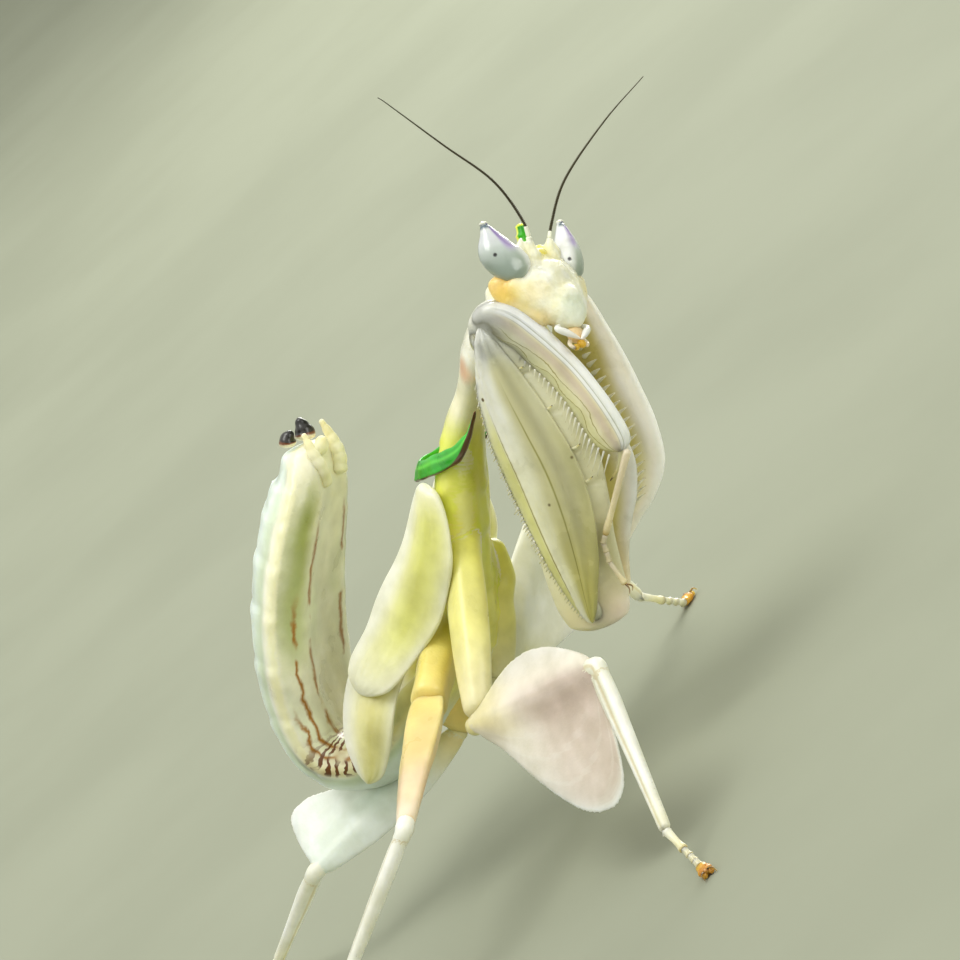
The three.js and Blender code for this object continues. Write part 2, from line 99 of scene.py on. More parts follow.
def tip(node, direction, depth=0.12):
    """The middle of the end of a node, looking along a direction."""
    points = cloud(node)
    reach = points @ np.asarray(direction, float)
    end = points[reach > reach.max() - depth]
    return (end.min(0) + end.max(0)) / 2


def ends(node, towards):
    """Both end points of a long node; the first is the one nearer to a point."""
    points = cloud(node)
    centred = points - points.mean(0)
    axis = np.linalg.svd(centred, full_matrices=False)[2][0]
    pair = [tip(node, axis), tip(node, -axis)]
    return sorted(pair, key=lambda end: np.linalg.norm(end - towards))


class Axes:
    """A place with three directions of its own."""

    def __init__(self, origin, first, second, third):
        self.origin = origin
        self.ways = np.array([first, second, third])

    def at(self, *offsets):
        return self.origin + np.asarray(offsets, float) @ self.ways

    def line(self, offsets):
        """A list of places."""
        return [self.at(*offset) for offset in offsets]


def trunk_axes():
    """Along the trunk towards the head, to the left and towards the back, from behind the prothorax."""
    pitch, roll = math.radians(TRUNK_PITCH), math.radians(TRUNK_ROLL)
    ahead = np.array([0, -math.cos(pitch), math.sin(pitch)])
    level = np.array([1.0, 0, 0])
    left = level * math.cos(roll) - np.cross(ahead, level) * math.sin(roll)
    back = np.cross(ahead, left)
    ways = np.array([ahead, left, back])
    thorax = cloud("mesothorax") @ ways.T
    low, high = thorax.min(0), thorax.max(0)
    origin = np.array([high[0] - TRUNK_START[0], (low[1] + high[1]) / 2, high[2] - TRUNK_START[1]]) @ ways
    return Axes(origin, *ways)


def head_axes():
    """To the left, up through the crown, and out of the face."""
    up = unit(HEAD_UP)
    left = square_to(HEAD_LEFT, up)
    return Axes(TRUNK.at(*HEAD_PLACE), left, up, np.cross(left, up))


TRUNK = trunk_axes()
HEAD = head_axes()
AHEAD, LEFT, BACK = TRUNK.ways
HEAD_SIDE, _, HEAD_OUT = HEAD.ways
trunk = TRUNK.at
head = HEAD.at


# --- shaping


def through(points, t):
    """Points on a smooth line through the given points."""
    points = np.asarray(points, float)
    if points.ndim == 1:
        return through(points[:, None], t)[:, 0]
    last = len(points) - 1
    padded = np.vstack([2 * points[0] - points[1], points, 2 * points[-1] - points[-2]])
    place = np.clip(t, 0, 1) * last
    k = np.minimum(place.astype(int), last - 1)
    f = (place - k)[:, None]
    a, b, c, d = (padded[k + i] for i in range(4))
    bend = 2 * b + (c - a) * f + (2 * a - 5 * b + 4 * c - d) * f**2
    return 0.5 * (bend + (3 * b - a - 3 * c + d) * f**3)


def taper(*stops):
    """A smooth value along a piece, through evenly spaced stops."""
    least = 0.012
    return lambda t: np.maximum(through(np.array(stops, float), t), least)


def steady(value):
    """The same value all along a piece."""
    return lambda t: np.full_like(t, value)


def smooth(low, high, value):
    """A smooth step from 0 at low to 1 at high."""
    t = np.clip((value - low) / (high - low), 0, 1)
    return t * t * (3 - 2 * t)


def hump(value, centre, width):
    """1 at centre, falling like a bell curve on both sides."""
    return np.exp(-(((value - centre) / width) ** 2))


def power_of(value, power):
    return np.sign(value) * np.abs(value) ** power


def directions(line):
    """The unit vectors of an array of vectors."""
    return line / np.linalg.norm(line, axis=1)[:, None]


class Skin:
    """Gathers closed bodies, with what each point knows of its place, into one mesh."""

    NOTES = ("along", "reach", "across", "face", "kind")

    def __init__(self):
        self.points, self.faces = [], []
        self.notes = {name: [] for name in self.NOTES}
        self.count = 0

    def take(self, points, faces, notes):
        self.points.append(points)
        self.faces += [tuple(i + self.count for i in face) for face in faces]
        for name in self.NOTES:
            value = notes.get(name, 0.0)
            self.notes[name].append(np.broadcast_to(value, len(points)).astype(np.float32))
        self.count += len(points)

    def loft(self, path, side, right, front, left=None, back=None, **more):
        """A closed body of oval sections on a smooth path. `right` and `left` are half widths along
        `side`, `front` and `back` half thicknesses across it. `detail` moves points outwards."""
        s = self.stations(more.get("rings", 60))
        step = 1e-3
        centre = through(path, s)
        ahead = directions(through(path, np.minimum(s + step, 1)) - through(path, np.maximum(s - step, 0)))
        side = np.asarray(side, float)
        across = directions(side - ahead * (ahead @ side)[:, None])
        widths = right(s), (left or right)(s)
        self.body(s, centre, ahead, across, widths, (front(s), (back or front)(s)), more)

    def blade(self, edge, far_edge, front, back=None, **more):
        """A closed body between two edges; `across` runs from -1 at far_edge to 1 at edge."""
        s = self.stations(more.get("rings", 60))
        one, other = through(edge, s), through(far_edge, s)
        centre, span = (one + other) / 2, np.linalg.norm(one - other, axis=1)
        across = (one - other) / span[:, None]
        ahead = np.gradient(centre, axis=0)
        ahead = directions(ahead - across * np.sum(ahead * across, axis=1)[:, None])
        self.body(s, centre, ahead, across, (span / 2, span / 2), (front(s), (back or front)(s)), more)

    @staticmethod
    def stations(rings):
        """Where the rings stand, from 0 to 1, closer together towards both ends."""
        steps = np.linspace(0, 1, rings + 1)
        return 0.45 * steps + 0.55 * (1 - np.cos(np.pi * steps)) / 2

    def body(self, s, centre, ahead, across, widths, depths, more):
        """Rings of points around the centre line, with rounded ends. `rim` is the thickness that the
        edges thin out to beside a ridge, and `lean` slants the rings."""
        rings, sides = len(s) - 1, more.get("sides", 32)
        walk = np.concatenate([[0], np.cumsum(np.linalg.norm(np.diff(centre, axis=0), axis=1))])
        close = self.closing(walk, more.get("caps", (0.2, 0.2)))
        angle = np.arange(sides) * 2 * math.pi / sides
        cos, sin = np.cos(angle)[None, :], np.sin(angle)[None, :]
        power = more.get("power", 2.0)
        power_back = more.get("power_back", power)
        power, power_back = (p(s)[:, None] if callable(p) else p for p in (power, power_back))
        u = np.where(sin > 0, power_of(cos, 2 / power), power_of(cos, 2 / power_back)) + 0 * close
        v = np.where(sin > 0, power_of(sin, 2 / power), power_of(sin, 2 / power_back)) + 0 * u
        x = u * np.where(u > 0, widths[0][:, None], widths[1][:, None]) * close
        shaft = np.where(v > 0, depths[0][:, None], depths[1][:, None])
        rim = more.get("rim", 0.0)
        if rim:
            thin = np.minimum(rim, shaft)
            shaft = thin + (shaft - thin) * np.exp(-((x / more.get("ridge", 1.0)) ** 2))
        shaft = shaft * close
        wide = np.maximum((widths[0] + widths[1])[:, None] / 2, 1e-3)
        out_x, out_y = cos / wide, sin / np.maximum(shaft, 1e-3)
        size = np.sqrt(out_x**2 + out_y**2)
        detail = more.get("detail")
        push = detail(walk[:, None], s[:, None], u, v) if detail else 0 * u
        x_all = x + push * out_x / size * close
        y_all = v * shaft + push * out_y / size * close
        points = (
            centre[:, None, :]
            + across[:, None, :] * x_all[..., None]
            + np.cross(ahead, across)[:, None, :] * y_all[..., None]
            + ahead[:, None, :] * (more.get("lean", 0.0) * x)[..., None]
        ).reshape(-1, 3)
        notes = {
            "along": np.append(np.repeat(walk, sides), [0, walk[-1]]),
            "reach": np.append(np.repeat(s, sides), [0, 1]),
            "across": np.append(u.reshape(-1), [0, 0]),
            "face": np.append(v.reshape(-1), [0, 0]),
            "kind": more.get("kind", 0.0),
        }
        poles = np.array([centre[0], centre[-1]])
        self.take(np.vstack([points, poles]), self.ring_faces(rings, sides), notes)

    @staticmethod
    def closing(walk, caps):
        """How far open the rings are: 1, and less towards rounded ends with the given lengths."""
        close = np.ones_like(walk)
        for cap, run in ((caps[0], walk), (caps[1], walk[-1] - walk)):
            if cap > 0:
                fill = 1 - np.clip(run / cap, 0, 1)
                close *= np.sqrt(np.clip(1 - fill**2, 0.0016, 1))
        return close[:, None]

    @staticmethod
    def ring_faces(rings, sides):
        faces = []
        first_pole = (rings + 1) * sides
        last = rings * sides
        for step in range(sides):
            turn = (step + 1) % sides
            for low in range(0, last, sides):
                faces.append((low + step, low + turn, low + sides + turn, low + sides + step))
            faces.append((first_pole, turn, step))
            faces.append((first_pole + 1, last + step, last + turn))
        return faces

    def rod(self, path, start, end=None, **more):
        """A round tapering rod along a path."""
        end = start if end is None else end
        way = unit(np.asarray(path[-1], float) - np.asarray(path[0], float))
        side = np.cross(way, [0.3, 0.5, 0.8])
        more = {"rings": 10, "sides": 12, "caps": (start * 0.8, end * 0.8), **more}
        self.loft(path, unit(side), taper(start, end), taper(start, end), **more)

    def ball(self, centre, radii, axes=None, **more):
        """A rounded lump with three half sizes."""
        axes = HEAD if axes is None else axes
        centre = np.asarray(centre, float)
        way = axes.ways[1] * radii[1]
        more = {"rings": 14, "sides": 18, "caps": (radii[1], radii[1]), **more}
        self.loft([centre - way, centre + way], axes.ways[0], steady(radii[0]), steady(radii[2]), **more)

    def mesh(self, name):
        drop_old(name)
        mesh = bpy.data.meshes.new(name)
        mesh.from_pydata((np.vstack(self.points) * MM).tolist(), [], self.faces)
        for note, values in self.notes.items():
            mesh.attributes.new(note, "FLOAT", "POINT").data.foreach_set("value", np.concatenate(values))
        bm = bmesh.new()
        bm.from_mesh(mesh)
        bmesh.ops.recalc_face_normals(bm, faces=bm.faces)
        bm.to_mesh(mesh)
        bm.free()
        mesh.shade_smooth()
        return mesh


def drop_old(name):
    """Removes a piece of an earlier run, with its mesh."""
    if name in bpy.data.meshes:
        bpy.data.meshes.remove(bpy.data.meshes[name])


def finish_piece(mesh, material, slot, *nodes):
    """Puts a finished mesh on show in place of the frame's nodes."""
    piece = bpy.data.objects.new(mesh.name, mesh)
    bpy.context.scene.collection.objects.link(piece)
    mesh.materials.clear()
    mesh.materials.append(material)
    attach(piece, "root")
    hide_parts(*nodes)


def modified(mesh, name, build):
    """The mesh after modifiers; `build` adds them to a helper object."""
    helper = bpy.data.objects.new(name + "_helper", mesh)
    bpy.context.scene.collection.objects.link(helper)
    build(helper)
    bpy.context.view_layer.update()
    depsgraph = bpy.context.evaluated_depsgraph_get()
    result = bpy.data.meshes.new_from_object(helper.evaluated_get(depsgraph))
    helper.modifiers.clear()
    bpy.data.objects.remove(helper)
    drop_old(name)
    result.name = name
    return result


def fused(skin, name, voxel, rounds):
    """The bodies of a skin grown together into one, with their notes carried over."""
    rough = skin.mesh(name + "_bodies")

    def build(helper):
        grow = helper.modifiers.new("grow together", "REMESH")
        grow.mode = "VOXEL"
        grow.voxel_size = voxel * MM
        grow.use_smooth_shade = True
        ease = helper.modifiers.new("ease", "CORRECTIVE_SMOOTH")
        ease.iterations = rounds
        ease.use_only_smooth = True
        ease.smooth_type = "SIMPLE"
        ease.factor = 0.6

    whole = modified(rough, name, build)
    carry_notes(rough, whole)
    bpy.data.meshes.remove(rough)
    whole.shade_smooth()
    return whole


def carry_notes(source, target):
    """Each point of the target takes the notes of the three nearest points of the source."""
    tree = KDTree(len(source.vertices))
    for vertex in source.vertices:
        tree.insert(vertex.co, vertex.index)
    tree.balance()
    nearest = [tree.find_n(vertex.co, 3) for vertex in target.vertices]
    touching = 1e-7
    for note in Skin.NOTES:
        values = np.empty(len(source.vertices), np.float32)
        source.attributes[note].data.foreach_get("value", values)
        mixed = [
            sum(values[i] / (d + touching) for _, i, d in near) / sum(1 / (d + touching) for _, _, d in near)
            for near in nearest
        ]
        target.attributes.new(note, "FLOAT", "POINT").data.foreach_set("value", mixed)


# --- repeated pieces


def socket_of(tree, label):
    """The identifier of a tree's named input."""
    return next(
        item.identifier
        for item in tree.interface.items_tree
        if item.item_type == "SOCKET" and item.in_out == "INPUT" and item.name == label
    )


class Wires:
    """Short calls to add and link the nodes of one tree."""

    def __init__(self, tree):
        self.tree = tree

    def put(self, socket, value):
        """Links or sets one input."""
        if isinstance(value, bpy.types.NodeSocket):
            self.tree.links.new(value, socket)
        else:
            socket.default_value = value

    def node(self, kind, *inputs, out=0, **settings):
        node = self.tree.nodes.new(kind)
        for key, value in settings.items():
            setattr(node, key, value)
        for socket, value in zip(node.inputs, inputs):
            if value is not None:
                self.put(socket, value)
        return node.outputs[out] if out is not None else node

    def math(self, operation, *inputs):
        return self.node("ShaderNodeMath", *inputs, operation=operation)


def new_tree(name, kind, inputs, outputs):
    """A node group with named inputs, each a label, a kind and perhaps a default, and named outputs."""
    tree = bpy.data.node_groups.new(name, kind)
    for in_out, rows in (("INPUT", inputs), ("OUTPUT", outputs)):
        for label, socket, *value in rows:
            item = tree.interface.new_socket(label, in_out=in_out, socket_type="NodeSocket" + socket)
            if value:
                item.default_value = value[0]
    return tree


def repeating_tree(name, inputs, output):
    """A geometry tree with a guide line, named inputs and a finish."""
    inputs = (("Guide", "Geometry"), *inputs, ("Finish", "Material"))
    return new_tree(name, "GeometryNodeTree", inputs, ((output, "Geometry"),))


def repeated(w, given, bead, turn, size, points, factor=None):
    """Ends a tree: the bead at every point as plain faces with their finish, `factor` stored as its reach."""
    row = w.node("GeometryNodeInstanceOnPoints", points, True, bead, False, 0, turn, size)
    if factor is not None:
        store = {"data_type": "FLOAT", "domain": "INSTANCE"}
        row = w.node("GeometryNodeStoreNamedAttribute", row, True, "reach", factor, **store)
    real = w.node("GeometryNodeRealizeInstances", row)
    dressed = w.node("GeometryNodeSetMaterial", real, True, given["Finish"])
    end = w.tree.nodes.new("NodeGroupOutput")
    w.put(end.inputs[0], dressed)
    return w.tree


COMB = "Comb of spines"
COMB_INPUTS = (
    ("Count", "Int", 20),
    ("First Length", "Float", 0.2 * MM),
    ("Last Length", "Float", 0.2 * MM),
    ("Root Radius", "Float", 0.03 * MM),
    ("Aim", "Vector", (0.0, 0.0, 1.0)),
    ("Curve", "Float", 0.0),
    ("Jitter", "Float", 0.15),
    ("Every", "Int", 1),
    ("Every Scale", "Float", 1.0),
    ("Seed", "Int", 1),
)


def comb_tree():
    """A row of spines along a guide line: count, lengths, aim, curve and every n-th one longer."""
    if COMB in bpy.data.node_groups:
        return bpy.data.node_groups[COMB]
    tree = repeating_tree(COMB, COMB_INPUTS, "Spines")
    w = Wires(tree)
    given = tree.nodes.new("NodeGroupInput").outputs
    line = w.node("GeometryNodeMeshToCurve", given["Guide"])
    points = w.node("GeometryNodeResampleCurve", line, True, given["Count"])
    factor = w.node("GeometryNodeSplineParameter")
    index = w.node("GeometryNodeSplineParameter", out=2)
    tangent = w.node("GeometryNodeInputTangent")
    # the spine itself, bent sideways, with its own reach stored for the dark tip
    spine = w.node("GeometryNodeMeshCone", 7, 4, 1, 0.12, 1.0, 1.0)
    height = w.node("ShaderNodeSeparateXYZ", w.node("GeometryNodeInputPosition"), out=2)
    bow = w.math("MULTIPLY", w.math("MULTIPLY", height, height), given["Curve"])
    shift = w.node("ShaderNodeCombineXYZ", bow)
    bent = w.node("GeometryNodeSetPosition", spine, True, None, shift)
    noted = w.node("GeometryNodeStoreNamedAttribute", bent, True, "reach", height, data_type="FLOAT")
    # its aim and size at each root
    turn = w.node("FunctionNodeAlignRotationToVector", None, 1.0, given["Aim"], axis="Z")
    turn = w.node("FunctionNodeAlignRotationToVector", turn, 1.0, tangent, axis="X", pivot_axis="Z")
    chance = w.node("FunctionNodeRandomValue", out=None, data_type="FLOAT")
    w.put(chance.inputs["Seed"], given["Seed"])
    spread = w.math("MULTIPLY", w.math("SUBTRACT", chance.outputs[1], 0.5), given["Jitter"])
    length = w.node("ShaderNodeMapRange", factor, 0.0, 1.0, given["First Length"], given["Last Length"])
    length = w.math("MULTIPLY", length, w.math("ADD", 1.0, spread))
    odd = w.math("COMPARE", w.math("MODULO", index, given["Every"]), 0.0, 0.5)
    boost = w.node("ShaderNodeMapRange", odd, 0.0, 1.0, 1.0, given["Every Scale"])
    length = w.math("MULTIPLY", length, boost)
    radius = w.math("MULTIPLY", given["Root Radius"], w.math("SQRT", boost))
    size = w.node("ShaderNodeCombineXYZ", radius, radius, length)
    return repeated(w, given, noted, turn, size, points)


BEADS = "Beaded line"
BEAD_INPUTS = (
    ("Count", "Int", 60),
    ("First Radius", "Float", 0.06 * MM),
    ("Last Radius", "Float", 0.02 * MM),
    ("Overlap", "Float", 1.15),
)


def bead_tree():
    """Barrel-shaped segments along a guide line, thinner towards its end."""
    if BEADS in bpy.data.node_groups:
        return bpy.data.node_groups[BEADS]
    tree = repeating_tree(BEADS, BEAD_INPUTS, "Beads")
    w = Wires(tree)
    given = tree.nodes.new("NodeGroupInput").outputs
    line = w.node("GeometryNodeMeshToCurve", given["Guide"])
    points = w.node("GeometryNodeResampleCurve", line, True, given["Count"])
    factor = w.node("GeometryNodeSplineParameter")
    total = w.node("GeometryNodeCurveLength", line)
    bead = w.node("GeometryNodeMeshUVSphere", 9, 7, 1.0)
    tangent = w.node("GeometryNodeInputTangent")
    turn = w.node("FunctionNodeAlignRotationToVector", None, 1.0, tangent, axis="Z")
    pitch = w.math("DIVIDE", total, w.math("MULTIPLY", given["Count"], 2.0))
    half = w.math("MULTIPLY", pitch, given["Overlap"])
    radius = w.node("ShaderNodeMapRange", factor, 0.0, 1.0, given["First Radius"], given["Last Radius"])
    size = w.node("ShaderNodeCombineXYZ", radius, radius, half)
    return repeated(w, given, bead, turn, size, points, factor)


def along_line(tree, points, material, **inputs):
    """The plain mesh that a repeating tree makes along a guide line through points."""
    points = np.asarray(points, float)
    guide = bpy.data.meshes.new("guide")
    guide.from_pydata((points * MM).tolist(), [(i, i + 1) for i in range(len(points) - 1)], [])

    def build(helper):
        modifier = helper.modifiers.new(tree.name, "NODES")
        modifier.node_group = tree
        modifier[socket_of(tree, "Finish")] = material
        for label, value in inputs.items():
            modifier[socket_of(tree, label.replace("_", " "))] = value

    made = modified(guide, tree.name, build)
    bpy.data.meshes.remove(guide)
    return made


def absorb(skin, mesh, kind=None):
    """Adds a plain mesh to a skin; without a kind it keeps its own."""
    points = np.array([vertex.co for vertex in mesh.vertices]) / MM
    notes = {}
    for note in Skin.NOTES:
        if note in mesh.attributes:
            values = np.empty(len(points), np.float32)
            mesh.attributes[note].data.foreach_get("value", values)
            notes[note] = values
    if kind is not None:
        notes["kind"] = kind
    skin.take(points, [tuple(face.vertices) for face in mesh.polygons], notes)
    bpy.data.meshes.remove(mesh)
    return skin


def add_comb(skin, points, material, kind, count, lengths, root, aim, **more):
    """Adds a comb of spines to a skin; lengths and root radius in millimetres."""
    comb = along_line(
        comb_tree(), points, material, Count=count, First_Length=lengths[0] * MM, Last_Length=lengths[1] * MM,
        Root_Radius=root * MM, Aim=tuple(unit(aim)), **more)
    absorb(skin, comb, kind)


# --- finishes


def rgb(colour):
    """Blender's own colour for red, green and blue as they look on a screen, 0 to 255.
    A colour that's Blender's own already, or a socket, stays as it is."""
    if not isinstance(colour, tuple) or len(colour) != 3:
        return colour
    return (*((c / 255 / 12.92) if c <= 10 else ((c / 255 + 0.055) / 1.055) ** 2.4 for c in colour), 1.0)


GRAIN = "Cuticle grain"
PEARL = (252, 252, 234)
MILK = (250, 250, 244)


def grain_group():
    """Fine grain of cuticle: a height for bumps and a shade around 0.5."""
    if GRAIN in bpy.data.node_groups:
        return bpy.data.node_groups[GRAIN]
    inputs = (("Vector", "Vector"), ("Grain", "Float", 9000.0), ("Mottle", "Float", 900.0))
    tree = new_tree(GRAIN, "ShaderNodeTree", inputs, (("Height", "Float"), ("Shade", "Float")))
    w = Wires(tree)
    given = tree.nodes.new("NodeGroupInput").outputs
    fine = w.node("ShaderNodeTexVoronoi", given["Vector"], None, given["Grain"])
    soft = w.node("ShaderNodeTexNoise", given["Vector"], None, given["Mottle"], 3.0)
    wide_scale = w.math("MULTIPLY", given["Mottle"], 0.3)
    wide = w.node("ShaderNodeTexNoise", given["Vector"], None, wide_scale, 2.0)
    height = w.math("ADD", w.math("MULTIPLY", fine, 0.25), soft)
    shade = w.math("ADD", w.math("MULTIPLY", soft, 0.45), w.math("MULTIPLY", wide, 0.55))
    end = tree.nodes.new("NodeGroupOutput")
    w.put(end.inputs["Height"], height)
    w.put(end.inputs["Shade"], shade)
    return tree


class Paint(Wires):
    """One material, built up in layers of colour over the piece's own notes."""

    def __init__(self, name):
        if name in bpy.data.materials:
            bpy.data.materials.remove(bpy.data.materials[name])
        self.material = bpy.data.materials.new(name)
        self.material.use_nodes = True
        super().__init__(self.material.node_tree)
        self.shader = self.tree.nodes["Principled BSDF"]
        self.place = self.node("ShaderNodeTexCoord", out=3)

    def note(self, name):
        return self.node("ShaderNodeAttribute", out=2, attribute_name=name)

    def band(self, value, low, high):
        """A smooth step from 0 at low to 1 at high."""
        return self.node("ShaderNodeMapRange", value, low, high, 0.0, 1.0, interpolation_type="SMOOTHSTEP")

    def mound(self, value, centre, width):
        """1 at centre, falling smoothly to 0 at the given distance."""
        apart = self.math("ABSOLUTE", self.math("SUBTRACT", value, centre))
        return self.band(apart, width, 0.0)

    def near(self, point, radius):
        """1 at a place given in millimetres, falling smoothly to 0 at the radius."""
        centre = tuple(np.asarray(point, float) * MM)
        apart = self.node("ShaderNodeVectorMath", self.place, centre, out=1, operation="DISTANCE")
        return self.band(apart, radius * MM, radius * 0.35 * MM)

    def times(self, *masks):
        total = masks[0]
        for mask in masks[1:]:
            total = self.math("MULTIPLY", total, mask)
        return total

    def mix(self, mask, under, over, blend="MIX"):
        node = self.tree.nodes.new("ShaderNodeMix")
        node.data_type, node.blend_type = "RGBA", blend
        for index, value in ((0, mask), (6, rgb(under)), (7, rgb(over))):
            self.put(node.inputs[index], value)
        return node.outputs[2]

    def layer(self, under, colour, *masks):
        """A colour over what is there, where all the masks are."""
        return self.mix(self.times(*masks), under, colour)

    def layers(self, under, *rows):
        """Layers from the lowest up, each a row of its colour and its masks."""
        for colour, *masks in rows:
            under = self.layer(under, colour, *masks)
        return under

    def ramp(self, value, *stops):
        node = self.tree.nodes.new("ShaderNodeValToRGB")
        self.put(node.inputs[0], value)
        ramp = node.color_ramp
        ramp.interpolation = "EASE"
        while len(ramp.elements) < len(stops):
            ramp.elements.new(0.5)
        for element, (position, colour) in zip(ramp.elements, stops):
            element.position, element.color = position, rgb(colour)
        return node.outputs[0]

    def noise(self, scale, detail=2.0, stretch=None):
        vector = self.place
        if stretch:
            vector = self.node("ShaderNodeMapping", vector, None, None, stretch)
        return self.node("ShaderNodeTexNoise", vector, None, scale, detail)

    def cells(self, scale):
        return self.node("ShaderNodeTexVoronoi", self.place, None, scale)

    def waver(self, value, scale, amount):
        """The value pushed to and fro a little, so that an edge isn't ruled."""
        push = self.math("MULTIPLY", self.math("SUBTRACT", self.noise(scale), 0.5), amount)
        return self.math("ADD", value, push)

    def finish(self, colour, bump=0.02, roughness=0.4, spread=0.12, extra=None, mottle=None, **constants):
        """Ends the material: its colour with fine grain, a roughness that varies, relief and constants."""
        grain = self.node("ShaderNodeGroup", out=None, node_tree=grain_group())
        self.put(grain.inputs["Vector"], self.place)
        if mottle:
            grain.inputs["Mottle"].default_value = mottle
        shade = grain.outputs["Shade"]
        dark = self.mix(1.0, colour, (0.8, 0.8, 0.76, 1.0), "MULTIPLY")
        colour = self.mix(self.band(shade, 0.62, 0.36), colour, dark)
        self.put(self.shader.inputs["Base Color"], colour)
        rough = self.node("ShaderNodeMapRange", shade, 0.3, 0.7, roughness - spread, roughness + spread)
        self.put(self.shader.inputs["Roughness"], rough)
        height = grain.outputs["Height"]
        if extra is not None:
            height = self.math("ADD", height, extra)
        relief = self.node("ShaderNodeBump", out=None)
        for label, value in (("Strength", 0.6), ("Distance", bump * MM), ("Height", height)):
            self.put(relief.inputs[label], value)
        self.put(self.shader.inputs["Normal"], relief.outputs[0])
        for key, value in constants.items():
            self.shader.inputs[key.replace("_", " ")].default_value = value
        return self.material


FLESH = dict(
    Subsurface_Weight=0.6, Subsurface_Radius=(1.0, 0.95, 0.78), Subsurface_Scale=1.0 * MM,
    Coat_Weight=0.25, Coat_Roughness=0.3, IOR=1.45)
PETAL = dict(FLESH, Subsurface_Weight=0.7, Subsurface_Scale=1.2 * MM)
SHELL = dict(Coat_Weight=0.4, Coat_Roughness=0.2, Subsurface_Weight=0.2, Subsurface_Scale=0.4 * MM)
HORN_GLOSS = dict(Coat_Weight=0.4, Coat_Roughness=0.15)
LENS = dict(
    Coat_Weight=0.6, Coat_Roughness=0.12, Subsurface_Weight=0.3, Subsurface_Radius=(0.8, 0.8, 1.0),
    Subsurface_Scale=0.5 * MM, IOR=1.5)


# --- trunk

# One station a row from the neck to the end of the abdomen: ahead, back, half width, belly, roof.
TRUNK_STATIONS = np.array((
    (6.9, -2.35, 0.75, 0.55, 0.5),
    (6.3, -2.15, 1.15, 0.7, 0.75),
    (5.6, -1.93, 1.75, 0.8, 1.0),
    (4.9, -1.7, 1.95, 0.85, 1.12),
    (4.2, -1.5, 1.9, 0.8, 1.1),
    (3.2, -1.15, 1.45, 0.7, 0.85),
    (2.2, -0.85, 1.15, 0.65, 0.8),
    (1.1, -0.5, 1.3, 0.75, 0.85),
    (-0.8, -0.25, 1.6, 1.0, 0.95),
    (-3.0, -0.3, 1.7, 1.0, 1.05),
    (-5.3, -0.45, 1.65, 1.05, 1.1),
    (-7.0, -0.55, 1.75, 1.15, 1.1),
    (-8.2, -0.4, 1.75, 1.2, 1.1),
    (-9.3, 0.0, 1.55, 1.0, 0.9),
    (-10.9, 1.2, 2.0, 1.1, 0.9),
    (-12.5, 2.5, 2.4, 1.4, 0.8),
    (-13.5, 3.9, 2.85, 1.8, 0.8),
    (-13.2, 5.35, 3.15, 2.0, 0.8),
    (-11.2, 6.25, 3.5, 2.15, 0.7),
    (-8.8, 6.6, 3.8, 2.2, 0.65),
    (-6.2, 6.65, 3.75, 2.15, 0.7),
    (-3.8, 6.45, 3.3, 2.0, 0.75),
    (-1.9, 6.25, 2.4, 1.7, 0.7),
    (-0.4, 6.75, 1.15, 0.95, 0.55),
))
LAST = len(TRUNK_STATIONS) - 1
# Where the folds lie, counted in stations.
THORAX_FOLDS = (7.35, 8.6, 9.4, 10.55, 11.5, 12.35, 13.1)
ABDOMEN_FOLDS = (13.9, 14.7, 15.6, 16.7, 17.8, 18.8, 19.7, 20.5, 21.3, 22.1)
# The plates under the thorax: ahead, left and back of each point, and half widths.
FRONT_PLATE = ((1.1, 0.7, -0.5), (-1.0, 0.95, -0.5), (-3.2, 1.1, -0.5), (-5.0, 1.3, -0.6))
REAR_PLATE = ((-3.9, 1.0, -0.75), (-5.6, 1.3, -0.85), (-7.4, 1.45, -0.8), (-9.2, 1.6, -0.4))
PLATES = ((FRONT_PLATE, (0.35, 0.62, 0.68, 0.5)), (REAR_PLATE, (0.35, 0.62, 0.7, 0.4)))
SOCKET, OWN, PLATE, MID_HIP, HIND_HIP = -1.0, 0.0, 0.5, 2.0, 3.0


def mirrored(points, hand):
    """Points given as ahead, left and back, on one side of the trunk."""
    return [trunk(a, hand * l, b) for a, l, b in points]


